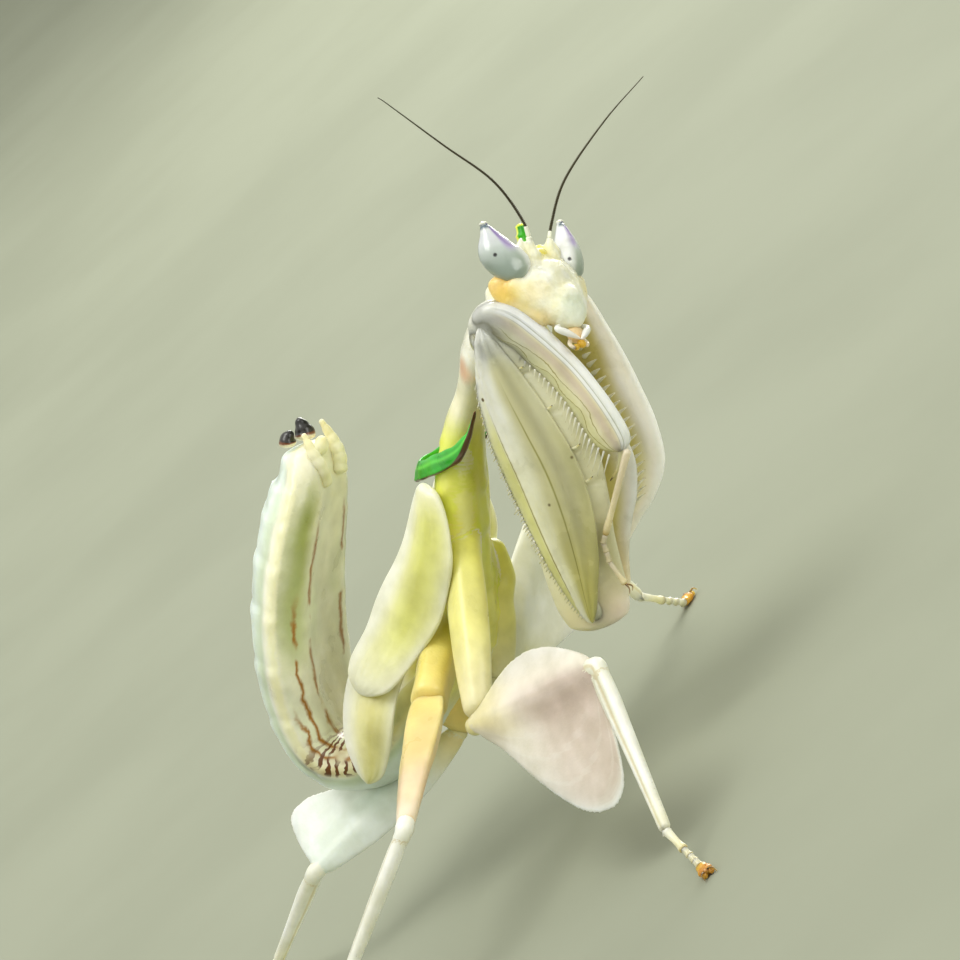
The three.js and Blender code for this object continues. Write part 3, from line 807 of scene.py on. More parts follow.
def trunk_relief(walk, s, u, v):
    """Outward push: plates, folds, the scalloped side ridge and the keel."""
    q = s * LAST
    thorax = smooth(7.1, 7.6, q) * (1 - smooth(13.2, 13.8, q))
    tail = smooth(13.2, 14.2, q) * (1 - smooth(22.4, 23, q))
    push = -0.07 * hump(q, 3.3, 0.12) * smooth(0.3, -0.2, v)
    push = push + 0.05 * hump(u, 0, 0.12) * smooth(0, -1, v) * (q < 7)
    push = push + 0.09 * hump(np.abs(u), 1, 0.06) * smooth(0.8, 2, q) * (1 - smooth(6.2, 7.2, q))
    for fold in THORAX_FOLDS:
        slant = fold + 0.16 * np.cos(u * 3) - 0.2 * v
        push = push - 0.1 * hump(q, slant, 0.07) * thorax + 0.07 * hump(q, slant - 0.2, 0.13) * thorax
    push = push + 0.07 * np.sin(u * 9 + 1.4 * np.sin(q * 1.9)) * thorax * hump(v, 0.5, 0.5)
    bulge = 0 * push
    for fold in ABDOMEN_FOLDS:
        slant = fold + 0.1 * np.abs(u) * np.sign(v)
        bulge = bulge + 0.1 * hump(q, slant - 0.16, 0.13) - 0.12 * hump(q, slant, 0.055)
    flank = hump(v, 0.08, 0.2)
    push = push + tail * bulge * (0.3 + 0.35 * flank + 0.35 * hump(v, 0.8, 0.25))
    push = push + tail * (0.16 * flank - 0.09 * hump(v, 0.46, 0.14))
    push = push + tail * 0.14 * hump(u, 0, 0.07) * smooth(0.3, 0.9, v)
    swell = 0.22 * hump(np.abs(u), 0.62, 0.3) * smooth(-0.1, -0.6, v)
    return push + tail * (swell + 0.018 * np.sin(u * 15 + q * 2.2) * smooth(0.1, -0.5, v))


def hip_and_trochanter(leg):
    """The inner and outer ends of a walking leg's coxa."""
    return ends(f"{leg}_coxa", middle("metathorax" if leg.startswith("hind") else "mesothorax"))


def hip_relief(walk, s, u, v):
    return 0.04 * np.sin(u * 5 + 2 * v) * smooth(0.1, 0.4, s) + 0.05 * hump(u, 0.9, 0.2)


def add_hip(skin, leg):
    """The swollen hip of a walking leg; the right hind one stays wide up to its first joint."""
    hip, low = hip_and_trochanter(leg)
    way = unit(low - hip)
    inner = hip - 1.5 * way + 0.55 * AHEAD - 0.35 * HAND[leg.split("_")[1]] * LEFT
    bend = [inner, hip + 0.1 * AHEAD, (2 * hip + low) / 3, (hip + 2 * low) / 3, low + 0.15 * way]
    wide_end, deep_end = (1.0, 0.8) if leg == "hind_right" else (0.72, 0.55)
    skin.loft(
        bend, AHEAD, taper(0.6, 1.05, 1.15, 1.08, wide_end), taper(0.6, 0.8, 0.82, 0.74, deep_end),
        rings=80, sides=40, power=2.3, kind=MID_HIP if leg.startswith("mid") else HIND_HIP,
        caps=(0.5, 0.35), detail=hip_relief)


def trunk_skin():
    skin = Skin()
    ahead, back, wide, belly, roof = TRUNK_STATIONS.T
    skin.loft(
        [trunk(a, 0, b) for a, b in zip(ahead, back)], LEFT, taper(*wide), taper(*belly), back=taper(*roof),
        rings=330, sides=96, caps=(0.3, 0.25), detail=trunk_relief,
        power=lambda s: 2.05 - 0.3 * smooth(13, 16, s * LAST),
        power_back=lambda s: 2.1 + 0.4 * smooth(13, 16, s * LAST))
    neck = [trunk(6.1, 0, -2.05), trunk(6.9, 0, -2.45), head(0, -1.9, -1.5), head(0, -1.9, -0.9)]
    skin.rod(neck, 0.95, 0.8, rings=30, sides=28, detail=lambda w, s, u, v: 0.05 * np.sin(w * 14))
    for hand in HAND.values():
        for plate, widths in PLATES:
            path, wide = mirrored(plate, hand), taper(*widths)
            skin.loft(path, LEFT, wide, wide, rings=40, sides=28, kind=PLATE, caps=(0.5, 0.5))
        # the sockets that the forelegs hang from
        socket = mirrored(((4.6, 0.9, -1.7), (5.1, 2.1, -2.0)), hand)
        skin.rod(socket, 0.85, 0.6, rings=16, sides=24, kind=SOCKET)
    for leg in WALKING:
        add_hip(skin, leg)
    return skin


def thorax_layers(p, base, kind, q, thorax):
    """Yellow streaks and deeper yellow-green clouds between the prothorax and the abdomen."""
    streak = p.band(p.noise(700, 3, (1.0, 1.0, 0.35)), 0.42, 0.68)
    deep = p.band(p.noise(420, 2), 0.5, 0.75)
    plates = p.times(p.mound(kind, OWN, 1.2), p.band(kind, -0.6, -0.2))
    run = p.times(p.band(q, 7.0, 8.2), p.band(q, 14.0, 12.6))
    deep = p.times(deep, plates, run)
    return p.layers(base, ((248, 244, 140), thorax, streak, 0.7), ((222, 230, 50), deep, 0.5))


def abdomen_layers(p, base, tail, q, u, v, colours):
    """Bluish white below, the bluish tint a painted sheen of skylight, a cream side ridge, painted olive
    shade in the groove above it, brown lines and bars on the back.
    """
    side = p.math("ABSOLUTE", u)
    olive_shade_bands = (p.band(v, 0.02, -0.18), p.band(q, 22.6, 21.4), p.band(q, 18.4, 19.6))
    grey = p.band(p.noise(300, 2, (1.0, 1.0, 0.4)), 0.35, 0.65)
    base = p.layers(
        base,
        # bluish white underside: white with a painted sheen of skylight
        (colours.belly[:], tail, p.band(v, 0.2, 0.55)),
        ((206, 220, 178), tail, p.mound(p.waver(v, 500, 0.3), 0.44, 0.24), p.band(q, 23, 21), 0.6),
        ((250, 247, 208), tail, p.mound(v, 0.06, 0.24)),
        # olive: painted shade in the groove above the side ridge
        (colours.olive[:], tail, p.mound(p.waver(side, 500, 0.16), 0.84, 0.3), *olive_shade_bands, 0.9),
        ((208, 220, 180), tail, p.band(v, -0.05, -0.3), grey, p.band(q, 22.0, 19.5), 0.5))
    above = p.times(tail, p.band(v, -0.05, -0.2))
    wavy = p.waver(side, 1200, 0.16)
    for place, high, width in ((0.955, 18.2, 0.03), (0.82, 20.2, 0.05), (0.5, 21.6, 0.08)):
        line = p.times(p.mound(wavy, place, width), p.band(q, 14.4, 14.9), p.band(q, high, high - 0.7))
        base = p.layer(base, colours.line_brown[:], above, line, p.band(p.noise(640, 2), 0.4, 0.5))
    bend = p.times(tail, p.band(v, 0.3, 0.12), p.band(q, 14.6, 15.2), p.band(q, 17.5, 16.7))
    bar_gap = 0.27  # stations between two bars
    cross = p.math("SINE", p.math("MULTIPLY", p.waver(q, 1500, 0.5), 2 * math.pi / bar_gap))
    return p.layers(
        base,
        ((196, 150, 74), bend, p.band(p.noise(600, 3), 0.4, 0.6), 0.5),
        ((112, 64, 14), bend, p.band(cross, 0.0, 0.5), p.band(p.noise(900, 2), 0.36, 0.44)),
        ((96, 100, 78), tail, p.mound(v, 0.34, 0.2), p.mound(q, 16.9, 0.7), 0.7))


def trunk_finish(colours):
    p = Paint("Living cuticle")
    kind, run, u, v = (p.note(name) for name in ("kind", "reach", "across", "face"))
    q = p.math("MULTIPLY", run, float(LAST))
    ivory = colours.ivory[:]
    base = p.ramp(
        run,
        (0.0, (246, 244, 226)),
        (0.15, ivory),
        (0.27, (246, 242, 208)),
        (0.325, (232, 236, 100)),
        (0.4, colours.lime[:]),
        (0.5, (246, 240, 120)),
        (0.57, (236, 228, 140)),
        (0.64, (244, 242, 206)),
        (0.8, ivory),
        (1.0, (250, 247, 222)),
    )
    plate = p.mix(run, (244, 244, 120), (250, 244, 176))
    base = p.layers(base, (plate, p.mound(kind, PLATE, 0.3)), (ivory, p.band(kind, -0.05, -0.3)))
    own = p.mound(kind, OWN, 0.3)
    thorax = p.times(own, p.band(q, 6.6, 8.0), p.band(q, 13.6, 12.6))
    base = thorax_layers(p, base, kind, q, thorax)
    base = abdomen_layers(p, base, p.times(own, p.band(q, 13.4, 14.6)), q, u, v, colours)
    # rosy blots on both sides of the prothorax
    for hand in HAND.values():
        base = p.layer(base, colours.rose[:], p.near(trunk(3.95, hand * 1.35, -1.05), 0.8), 0.8)
    # hips and their first joints
    mid = p.ramp(run, (0.0, (240, 236, 110)), (0.5, (242, 236, 150)), (1.0, (244, 236, 192)))
    hind = p.ramp(run, (0.0, (242, 236, 110)), (0.6, (248, 230, 128)), (1.0, (248, 226, 140)))
    base = p.layers(
        base,
        (mid, p.band(kind, 1.3, 1.7)),
        (hind, p.band(kind, 2.4, 2.8)),
        ((150, 140, 50), p.band(p.cells(520.0), 0.09, 0.03), thorax, 0.6))
    folds = p.math("MULTIPLY", p.noise(1500, 3, (1.0, 1.0, 0.4)), 0.8)
    return p.finish(base, bump=0.04, roughness=0.34, extra=folds, **FLESH)


# --- collar, tail tip and wing pads

# From the side to the ridge of the back: ahead, left, back of the upper edge, then of the lower rim.
COLLAR_HALF = (
    ((2.3, -1.62, -1.45), (2.2, -1.66, -1.48)),
    ((1.55, -1.82, -1.22), (1.3, -1.86, -1.36)),
    ((1.15, -1.85, -0.98), (0.45, -1.96, -1.1)),
    ((0.62, -1.7, -0.42), (-0.1, -1.9, -0.62)),
    ((0.2, -1.4, 0.3), (-0.75, -1.55, 0.45)),
    ((-0.35, -0.8, 1.15), (-1.25, -0.85, 1.3)),
    ((-0.55, 0.0, 1.5), (-1.5, 0.0, 1.6)),
)


def collar_skin():
    skin = Skin()
    whole = COLLAR_HALF + tuple(tuple((a, -l, b) for a, l, b in pair) for pair in COLLAR_HALF[-2::-1])
    skin.blade(
        TRUNK.line(rim for _, rim in whole), TRUNK.line(top for top, _ in whole), steady(0.13),
        rings=120, sides=28, caps=(0.25, 0.25),
        detail=lambda w, s, u, v: 0.05 * hump(u, 0.86, 0.12) + 0.02 * np.sin(w * 6 + u * 2))
    return skin


def collar_finish(colours):
    p = Paint("Green flange")
    u, run = p.note("across"), p.note("reach")
    base = p.ramp(p.noise(900, 3), (0.3, (36, 164, 26)), (0.7, colours.leaf[:]))
    base = p.layer(base, (96, 214, 70), p.mound(p.waver(u, 900, 0.3), -0.2, 0.35))
    ends_dark = p.band(p.math("ABSOLUTE", p.math("SUBTRACT", run, 0.5)), 0.2, 0.44)
    dark = p.mix(p.noise(1200), (46, 34, 14), (104, 66, 20))
    base = p.layer(base, dark, p.band(p.math("ADD", u, p.math("MULTIPLY", ends_dark, 1.4)), 0.8, 0.97))
    return p.finish(base, bump=0.02, roughness=0.3, **SHELL)


# Routes of the two black cones of the tail tip, and their widths.
TAIL_CONES = (
    (((-0.3, 0.3, 6.7), (0.1, 0.33, 6.8), (0.66, 0.28, 7.05)), 0.46),
    (((-0.45, -0.45, 7.2), (-0.1, -0.45, 7.25), (0.28, -0.4, 7.1)), 0.38),
)
CERCUS = ((-1.9, 0.7, 5.45), (-1.1, 0.95, 5.6), (-0.4, 1.0, 5.95), (0.36, 0.9, 6.4))
CERCUS_DROP = {"right": 0.0, "left": 0.12}


def tail_tip_piece():
    skin = Skin()
    for route, wide in TAIL_CONES:
        skin.loft(
            TRUNK.line(route), LEFT, taper(wide, wide * 0.92, 0.12), taper(wide, wide * 0.9, 0.12),
            rings=40, sides=32, caps=(0.2, 0.12), detail=lambda w, s, u, v: 0.012 * np.sin(w * 17 + 3 * u))
    p = Paint("Black horn tip")
    base = p.ramp(
        p.waver(p.note("reach"), 2500, 0.14), (0.24, (246, 238, 206)), (0.36, (120, 64, 24)),
        (0.46, (26, 20, 15)), (1.0, (12, 10, 9)))
    finish = p.finish(base, bump=0.02, roughness=0.3, **HORN_GLOSS)
    finish_piece(skin.mesh("tail_tip"), finish, "black", "abdomen_tip")


def cercus_pieces():
    """The two short feelers of the tail, the right one with the pale knob between them."""
    for side, hand in HAND.items():
        drop = CERCUS_DROP[side]
        skin = Skin()
        skin.loft(
            [trunk(a + drop, hand * l, b - drop) for a, l, b in CERCUS], LEFT,
            taper(0.32, 0.32, 0.25, 0.09), taper(0.3, 0.3, 0.24, 0.09), rings=80, sides=26, caps=(0.2, 0.1),
            detail=lambda w, s, u, v: 0.03 * np.abs(np.sin(w * 7)) - 0.015)
        if side == "right":
            upright = Axes(TRUNK.origin, LEFT, AHEAD, BACK)
            skin.ball(trunk(-0.4, 0.1, 5.95), (0.4, 0.42, 0.3), upright, kind=1.0)
        p = Paint(f"Cercus cream {side}")
        stops = ((0.0, (246, 240, 196)), (0.5, (250, 244, 206)), (1.0, (238, 224, 170)))
        base = p.ramp(p.waver(p.note("reach"), 2000, 0.15), *stops)
        mesh = skin.mesh(f"cercus_skin_{side}")
        finish_piece(mesh, p.finish(base, bump=0.02, **FLESH), "ivory", f"cercus_{side}")


# Lower and upper edges of the wing pads from root to tip: ahead, left, back.
PADS = {
    "forewing": {
        "lower": (
            (-1.15, 1.75, 0.6), (-1.55, 2.15, 0.0), (-2.7, 2.6, -0.6), (-4.3, 3.0, -0.8),
            (-6.2, 3.25, -0.5), (-7.8, 3.4, 0.35), (-9.2, 3.7, 1.35), (-10.2, 3.55, 2.4),
        ),
        "upper": (
            (-1.05, 1.35, 1.05), (-1.7, 1.3, 1.25), (-2.9, 1.35, 1.55), (-4.7, 1.45, 2.15),
            (-6.4, 1.65, 2.95), (-7.7, 1.9, 3.3), (-8.9, 2.4, 3.85), (-10.0, 2.9, 3.75),
        ),
        "depth": taper(0.25, 0.36, 0.46, 0.5, 0.46, 0.38, 0.3, 0.2),
        "shape": {"rings": 120, "sides": 56, "rim": 0.14, "ridge": 1.0, "caps": (0.35, 0.7)},
    },
    "hindwing": {
        "lower": (
            (-8.6, 2.85, 1.2), (-9.7, 3.15, 1.45), (-11.0, 3.7, 1.55),
            (-12.3, 3.75, 1.7), (-13.3, 3.7, 1.95), (-13.95, 3.55, 2.5),
        ),
        "upper": (
            (-8.7, 1.95, 3.6), (-9.8, 2.3, 3.95), (-11.1, 3.0, 3.98),
            (-12.3, 3.2, 3.75), (-13.2, 3.35, 3.35), (-13.85, 3.5, 2.95),
        ),
        "depth": taper(0.2, 0.28, 0.3, 0.3, 0.26, 0.2),
        "shape": {"rings": 90, "sides": 52, "rim": 0.11, "ridge": 0.9, "caps": (0.3, 0.4)},
    },
}


def pad_relief(walk, s, u, v):
    veins = sum(hump(u, place + 0.25 * (s - 0.5), 0.05) for place in (-0.55, -0.2, 0.15, 0.5))
    waves = 0.03 * np.sin(walk * 2.1 + u) * np.abs(u)
    return 0.035 * veins * smooth(0.02, 0.2, s) + waves + 0.05 * hump(np.abs(u), 1, 0.12)


def pad_finish(name, side):
    p = Paint(f"{name.capitalize()} pad {side}")
    u, run = p.note("across"), p.note("reach")
    cloud_mask = p.band(p.noise(360, 3, (1.0, 1.0, 0.5)), 0.35, 0.65)
    green = p.mix(cloud_mask, (216, 218, 104), (196, 196, 86))
    core = [p.mound(p.waver(u, 400, 0.4), 0.3, 1.2), p.band(run, 0.06, 0.3)]
    if name == "forewing":
        core.append(p.band(run, 1.0, 0.6))
    else:
        green = p.layer(green, (226, 216, 160), 0.55)
    base = p.mix(p.times(*core, 0.85), (248, 246, 214), green)
    base = p.layer(base, (250, 250, 232), p.band(u, -0.2, -0.9), p.band(run, 1.0, 0.6))
    return p.finish(base, bump=0.03, roughness=0.38, **PETAL)


def wing_pad_pieces():
    """Leaf-like pads of the growing wings, two on each side."""
    for side, hand in HAND.items():
        for name, pad in PADS.items():
            skin = Skin()
            lower, upper = mirrored(pad["lower"], hand), mirrored(pad["upper"], hand)
            skin.blade(lower, upper, pad["depth"], power=2.1, detail=pad_relief, **pad["shape"])
            mesh = skin.mesh(f"{name}_pad_skin_{side}")
            finish_piece(mesh, pad_finish(name, side), "lime", f"{name}_pad_{side}")


# --- head

FACE, MUZZLE, CHEEK, CONE, OCELLUS = 0.0, 1.0, 2.0, 3.0, 4.0
# Up and front of the middle of the head, from the crown to the upper lip.
HEAD_LINE = (
    (0.1, -0.75), (-0.55, -0.5), (-1.25, -0.35), (-2.0, -0.2), (-2.8, -0.1), (-3.5, 0.0), (-4.1, 0.05),
)
# Three rods on each side make the cheeks and jaws, two the cones under the feelers: left, up, front.
CHEEKS = (
    ((1.95, -0.9, -0.85), (1.82, -1.65, -1.0), (1.42, -2.5, -0.8), (0.75, -3.5, -0.35)),
    ((1.82, -1.35, -0.62), (1.45, -2.15, -0.42), (0.95, -2.9, -0.25), (0.5, -3.6, -0.1)),
    ((1.5, -1.55, -0.35), (1.12, -2.3, -0.15), (0.75, -3.0, -0.05), (0.5, -3.6, 0.0)),
)
CONES = (
    ((0.5, -0.95, 0.1), (0.52, -0.4, 0.15), (0.62, 0.05, 0.4)),
    ((1.1, -0.9, -0.1), (0.95, -0.2, 0.0), (0.78, 0.25, 0.2)),
)
# Kind, route, start and end radius, rings, sides.
HEAD_RODS = (
    (CHEEK, CHEEKS[0], 0.54, 0.42, 50, 36),
    (CHEEK, CHEEKS[1], 0.56, 0.42, 50, 34),
    (CHEEK, CHEEKS[2], 0.46, 0.36, 40, 32),
    (CONE, CONES[0], 0.42, 0.13, 30, 22),
    (CONE, CONES[1], 0.36, 0.06, 24, 18),
)


def head_relief(walk, s, u, v):
    wrinkles = 0.016 * np.sin(u * 21 + 4 * np.sin(walk * 4.3)) + 0.014 * np.sin(walk * 19 + 3 * np.sin(u * 6))
    shield = 0.05 * hump(np.abs(u), 0.6, 0.07) * hump(s, 0.6, 0.2)
    shield = shield - 0.06 * hump(s, 0.72, 0.02) * (np.abs(u) < 0.8)
    face = (wrinkles * smooth(0.2, 0.5, s) + shield) * smooth(0, 0.4, v)
    return face - 0.04 * hump(u, 0, 0.05) * smooth(0, -0.5, v)


def head_skin():
    skin = Skin()
    skin.loft(
        [head(0, up, front) for up, front in HEAD_LINE], HEAD_SIDE,
        taper(0.75, 1.35, 1.6, 1.5, 1.18, 0.88, 0.46), taper(0.3, 0.6, 0.8, 0.85, 0.78, 0.56, 0.26),
        back=taper(0.4, 1.0, 1.2, 1.3, 1.1, 0.75, 0.4), rings=150, sides=90, power=2.2, caps=(0.5, 0.3),
        detail=head_relief, kind=FACE)
    skin.ball(head(0, -2.75, 0.42), (0.72, 0.5, 0.38), kind=FACE)
    skin.ball(head(0, -3.55, 0.12), (0.64, 0.62, 0.38), kind=MUZZLE)
    skin.ball(head(0, -1.75, 0.4), (0.7, 0.75, 0.32), kind=FACE)
    for hand in (-1, 1):
        for kind, route, start, end, rings, sides in HEAD_RODS:
            path = [head(hand * l, u, f) for l, u, f in route]
            skin.rod(path, start, end, rings=rings, sides=sides, kind=kind)
        skin.ball(head(hand * 0.2, -0.22, 0.0), (0.17, 0.2, 0.17), kind=OCELLUS)
    skin.ball(head(0, -0.5, 0.16), (0.2, 0.2, 0.18), kind=OCELLUS)
    horn_foot = HEAD.line(((0, -0.6, -0.4), (0, 0.05, -0.52), (0, 0.45, -0.48)))
    skin.rod(horn_foot, 0.55, 0.24, rings=24, sides=26, kind=CONE)
    return skin


def head_finish(colours):
    p = Paint("Face cuticle")
    kind = p.note("kind")
    clouds = p.noise(700, 4)
    base = p.ramp(clouds, (0.3, (252, 246, 206)), (0.5, (252, 250, 228)), (0.68, (254, 254, 248)))
    for hand in (-1, 1):
        for place, radius, share, colour in (
            ((2.3, -1.5, -1.0), 1.35, 0.75, colours.cheek[:]),
            ((1.7, -2.3, -0.8), 1.3, 0.6, (248, 216, 96)),
            ((1.05, -3.3, -0.6), 0.9, 0.6, (246, 206, 90)),
            ((1.3, -2.3, 0.3), 0.8, 0.4, (244, 226, 150)),
        ):
            base = p.layer(base, colour, p.near(head(hand * place[0], *place[1:]), radius), share)
    base = p.layers(
        base,
        # bluish white and grey-green on the lower face: painted highlights over its cream
        (colours.belly[:], p.near(head(0, -3.5, 0.6), 1.1), 0.6),
        ((228, 236, 216), p.near(head(0, -2.9, 0.8), 0.9), p.band(p.noise(900, 3), 0.45, 0.6)),
        ((250, 232, 90), p.band(kind, 3.4, 3.9), p.band(p.noise(1500), 0.3, 0.5)),
        ((250, 240, 130), p.near(head(0, -0.3, 0.1), 0.7), 0.5),
        ((244, 240, 206), p.near(head(0, -1.2, -1.7), 1.3)))
    wrinkle = p.math("MULTIPLY", p.noise(2300, 3, (1.0, 0.5, 1.0)), 1.8)
    return p.finish(base, bump=0.075, roughness=0.3, extra=wrinkle, mottle=1600.0, **FLESH)


# The line of an eye from its foot to its knob: left, up, front.
EYE_LINE = (
    (1.42, -1.62, -0.2), (1.74, -0.95, -0.28), (1.93, -0.32, -0.3),
    (2.03, 0.2, -0.25), (2.12, 0.72, -0.18), (2.2, 1.26, -0.12),
)
EYE_SIDEWAYS, EYE_FORWARD = 0.786, 0.619  # which way the wide side of an eye faces
# Where the false pupils show.
PUPILS = {"right": (-2.5, -0.45, 0.0), "left": (1.2, -1.0, 0.3)}
KNOB = 0.935  # the reach at which the pearly knob starts


def eye_skin(hand):
    inner, outer = taper(0.6, 0.94, 0.9, 0.68, 0.38, 0.085), taper(0.34, 0.66, 0.78, 0.64, 0.32, 0.085)
    face, rear = taper(0.42, 0.58, 0.6, 0.5, 0.3, 0.085), taper(0.36, 0.52, 0.54, 0.46, 0.28, 0.085)
    over, under = (face, rear) if hand > 0 else (rear, face)
    wide_way = -hand * EYE_SIDEWAYS * HEAD_SIDE + EYE_FORWARD * HEAD_OUT
    skin = Skin()
    skin.loft(
        [head(hand * l, u, f) for l, u, f in EYE_LINE], wide_way, inner, over, left=outer, back=under,
        rings=120, sides=80, caps=(0.42, 0.11), kind=hand, lean=-0.18,
        detail=lambda w, s, u, v: 0.05 * hump(s, 0.965, 0.02) - 0.02 * hump(s, 0.92, 0.02))
    return skin


def eye_finish(colours, side, pupil):
    p = Paint(f"Eye lens {side}")
    run, u = p.note("reach"), p.note("across")
    out = p.math("MULTIPLY", p.note("face"), HAND[side])
    base = p.ramp(
        p.waver(run, 700, 0.06), (0.2, (176, 188, 176)), (0.42, (196, 206, 202)),
        (0.7, (216, 220, 226)), (1.0, (240, 242, 236)))
    lilac = (p.mound(p.waver(u, 900, 0.1), 0.6, 0.4), p.band(out, 0.0, 0.4), p.band(run, 0.3, 0.5))
    stripe = (p.mound(p.waver(u, 1200, 0.08), 0.5, 0.2), p.band(out, 0.1, 0.4), p.band(run, 0.42, 0.72))
    base = p.layers(
        base,
        ((150, 164, 156), p.band(run, 0.55, 0.2), p.band(u, 0.75, 0.0), p.band(out, -0.2, 0.5), 0.75),
        ((240, 242, 240), p.band(u, 0.55, 0.9)),
        ((226, 228, 232), p.band(out, 0.1, -0.4)),
        (colours.lilac[:], *lilac),
        ((136, 112, 178), *stripe, 0.85),
        ((66, 92, 108), p.mound(run, 0.9, 0.075), p.band(out, -0.6, 0.1)),
        ((246, 246, 226), p.band(run, KNOB, 0.96)),
        ((18, 16, 14), p.near(pupil, 0.12)))
    facets = p.math("MULTIPLY", p.cells(26000.0), 0.5)
    return p.finish(base, bump=0.005, roughness=0.22, spread=0.05, extra=facets, **LENS)


def eye_pieces(colours):
    """Upright pointed eyes, wide from the side and narrow from the front, each drawn out to a pearly knob."""
    for side, hand in HAND.items():
        skin = eye_skin(hand)
        points = np.vstack(skin.points)
        pupil = points[np.argmin(np.linalg.norm(points - head(*PUPILS[side]), axis=1))]
        mesh = skin.mesh(f"eye_skin_{side}")
        finish_piece(mesh, eye_finish(colours, side, pupil), "lilac_eye", f"eye_{side}")


def horn_relief(walk, s, u, v):
    return 0.07 * hump(s, 0.62, 0.05) * smooth(0, -1, u) + 0.015 * np.cos(u * 9) + 0.03 * hump(s, 0.93, 0.06)


def horn_piece():
    skin = Skin()
    path = HEAD.line(((0, -0.25, -0.62), (0, 0.25, -0.5), (0, 0.75, -0.36), (0, 1.2, -0.25)))
    skin.loft(
        path, HEAD_SIDE, taper(0.4, 0.3, 0.21, 0.15), taper(0.36, 0.3, 0.22, 0.16),
        rings=70, sides=36, caps=(0.2, 0.15), detail=horn_relief)
    p = Paint("Horn green")
    v, run = p.note("face"), p.note("reach")
    core = p.times(p.band(p.waver(v, 1800, 0.2), 0.3, -0.1), p.band(run, 0.93, 0.86), p.band(run, 0.22, 0.4))
    base = p.ramp(run, (0.15, (250, 246, 200)), (0.45, (232, 232, 110)), (1.0, (214, 228, 60)))
    green = p.ramp(run, (0.3, (120, 190, 50)), (0.55, (52, 168, 20)), (0.9, (24, 140, 16)))
    finish = p.finish(p.mix(core, base, green), bump=0.015, **FLESH)
    finish_piece(skin.mesh("horn_skin"), finish, "leaf_green", "horn")


FEELERS = {
    "right": (
        (-0.5, -0.4, 0.12), (-0.74, 0.6, 0.64), (-2.2, 2.2, 1.4),
        (-4.7, 3.6, 2.0), (-7.7, 5.0, 2.9), (-8.25, 5.18, 3.08),
    ),
    "left": ((0.5, -0.4, 0.12), (0.78, 0.6, 0.68), (1.6, 2.1, 1.7), (4.0, 4.1, 2.9), (6.35, 5.65, 3.87)),
}
FEELER_JOINTS = (0.0, 0.1, 0.19)  # where the two pale joints start and end, as parts of the whole
WHIP_START = 0.175
BEADS_PER_FEELER = 120


def feeler_finish():
    p = Paint("Feeler")
    whip = p.band(p.note("kind"), 0.3, 0.7)
    pale = p.mix(p.noise(1500), (242, 244, 222), (252, 252, 240))
    stops = ((0.0, (64, 56, 28)), (0.12, (34, 28, 18)), (0.8, (52, 42, 26)), (1.0, (86, 70, 44)))
    dark = p.ramp(p.waver(p.note("reach"), 900, 0.1), *stops)
    return p.finish(p.mix(whip, pale, dark), bump=0.01, roughness=0.45)


def feeler_pieces(sizes):
    """Two pale joints and a dark whip of beads on each side."""
    finish = feeler_finish()
    for side, route in FEELERS.items():
        skin = Skin()
        points = HEAD.line(route)
        joint = through(points, np.array(FEELER_JOINTS))
        way = unit(joint[2] - joint[0])
        base = [joint[0] - 0.2 * way, joint[0] + 0.25 * way, joint[1] + 0.1 * way]
        skin.rod(base, 0.17, 0.11, rings=26, sides=20, detail=lambda w, s, u, v: 0.02 * hump(s, 0.9, 0.06))
        skin.rod([joint[1] + 0.06 * way, joint[2]], 0.11, 0.08, rings=14, sides=16)
        whip = through(points, np.linspace(WHIP_START, 1, 40))
        beads = along_line(
            bead_tree(), whip, finish, Count=BEADS_PER_FEELER, Overlap=1.2,
            First_Radius=sizes.feeler_root, Last_Radius=sizes.feeler_tip)
        absorb(skin, beads, 1.0)
        mesh = skin.mesh(f"feeler_{side}")
        finish_piece(mesh, finish, "horn_brown", f"antenna_{side}")


LONG_PALPS = (
    ((-0.6, -3.85, -0.15), (-0.98, -4.1, 0.0), (-0.66, -4.42, 0.14), (-0.2, -4.76, 0.22)),
    ((0.5, -3.9, -0.1), (0.56, -4.2, 0.12), (0.16, -4.54, 0.24), (-0.16, -4.78, 0.22)),
)
SHORT_PALPS = (
    ((-0.35, -4.55, -0.2), (-0.56, -4.85, -0.12), (-0.38, -5.05, -0.04)),
    ((0.3, -4.55, -0.2), (0.4, -4.8, -0.08), (0.2, -5.0, 0.0)),
)


def mouth_piece(colours):
    """Small amber mouth under its white spindle-shaped palps."""
    skin = Skin()
    skin.ball(head(0, -4.35, -0.1), (0.42, 0.4, 0.3), kind=0.4)
    skin.ball(head(-0.05, -4.88, 0.02), (0.21, 0.19, 0.17))
    skin.ball(head(-0.34, -4.98, -0.06), (0.15, 0.14, 0.13))
    wide = taper(0.06, 0.1, 0.14, 0.15, 0.11, 0.04)
    for route in LONG_PALPS:
        skin.loft(HEAD.line(route), HEAD_OUT, wide, wide, rings=60, sides=20, kind=1.0, caps=(0.05, 0.04))
    for route in SHORT_PALPS:
        skin.rod(
            HEAD.line(route), 0.1, 0.06, rings=40, sides=16, kind=0.5,
            detail=lambda w, s, u, v: 0.02 * np.abs(np.sin(s * 2 * np.pi)) - 0.01)
    p = Paint("Mouth amber")
    amber = p.ramp(p.noise(1500, 3), (0.3, (214, 160, 40)), (0.7, colours.amber[:]))
    base = p.mix(p.band(p.note("kind"), 0.1, 0.9), amber, (252, 252, 244))
    mesh = skin.mesh("mouth")
    finish_piece(mesh, p.finish(base, bump=0.01, roughness=0.22, **FLESH), "amber", "mouthparts")


# --- forelegs

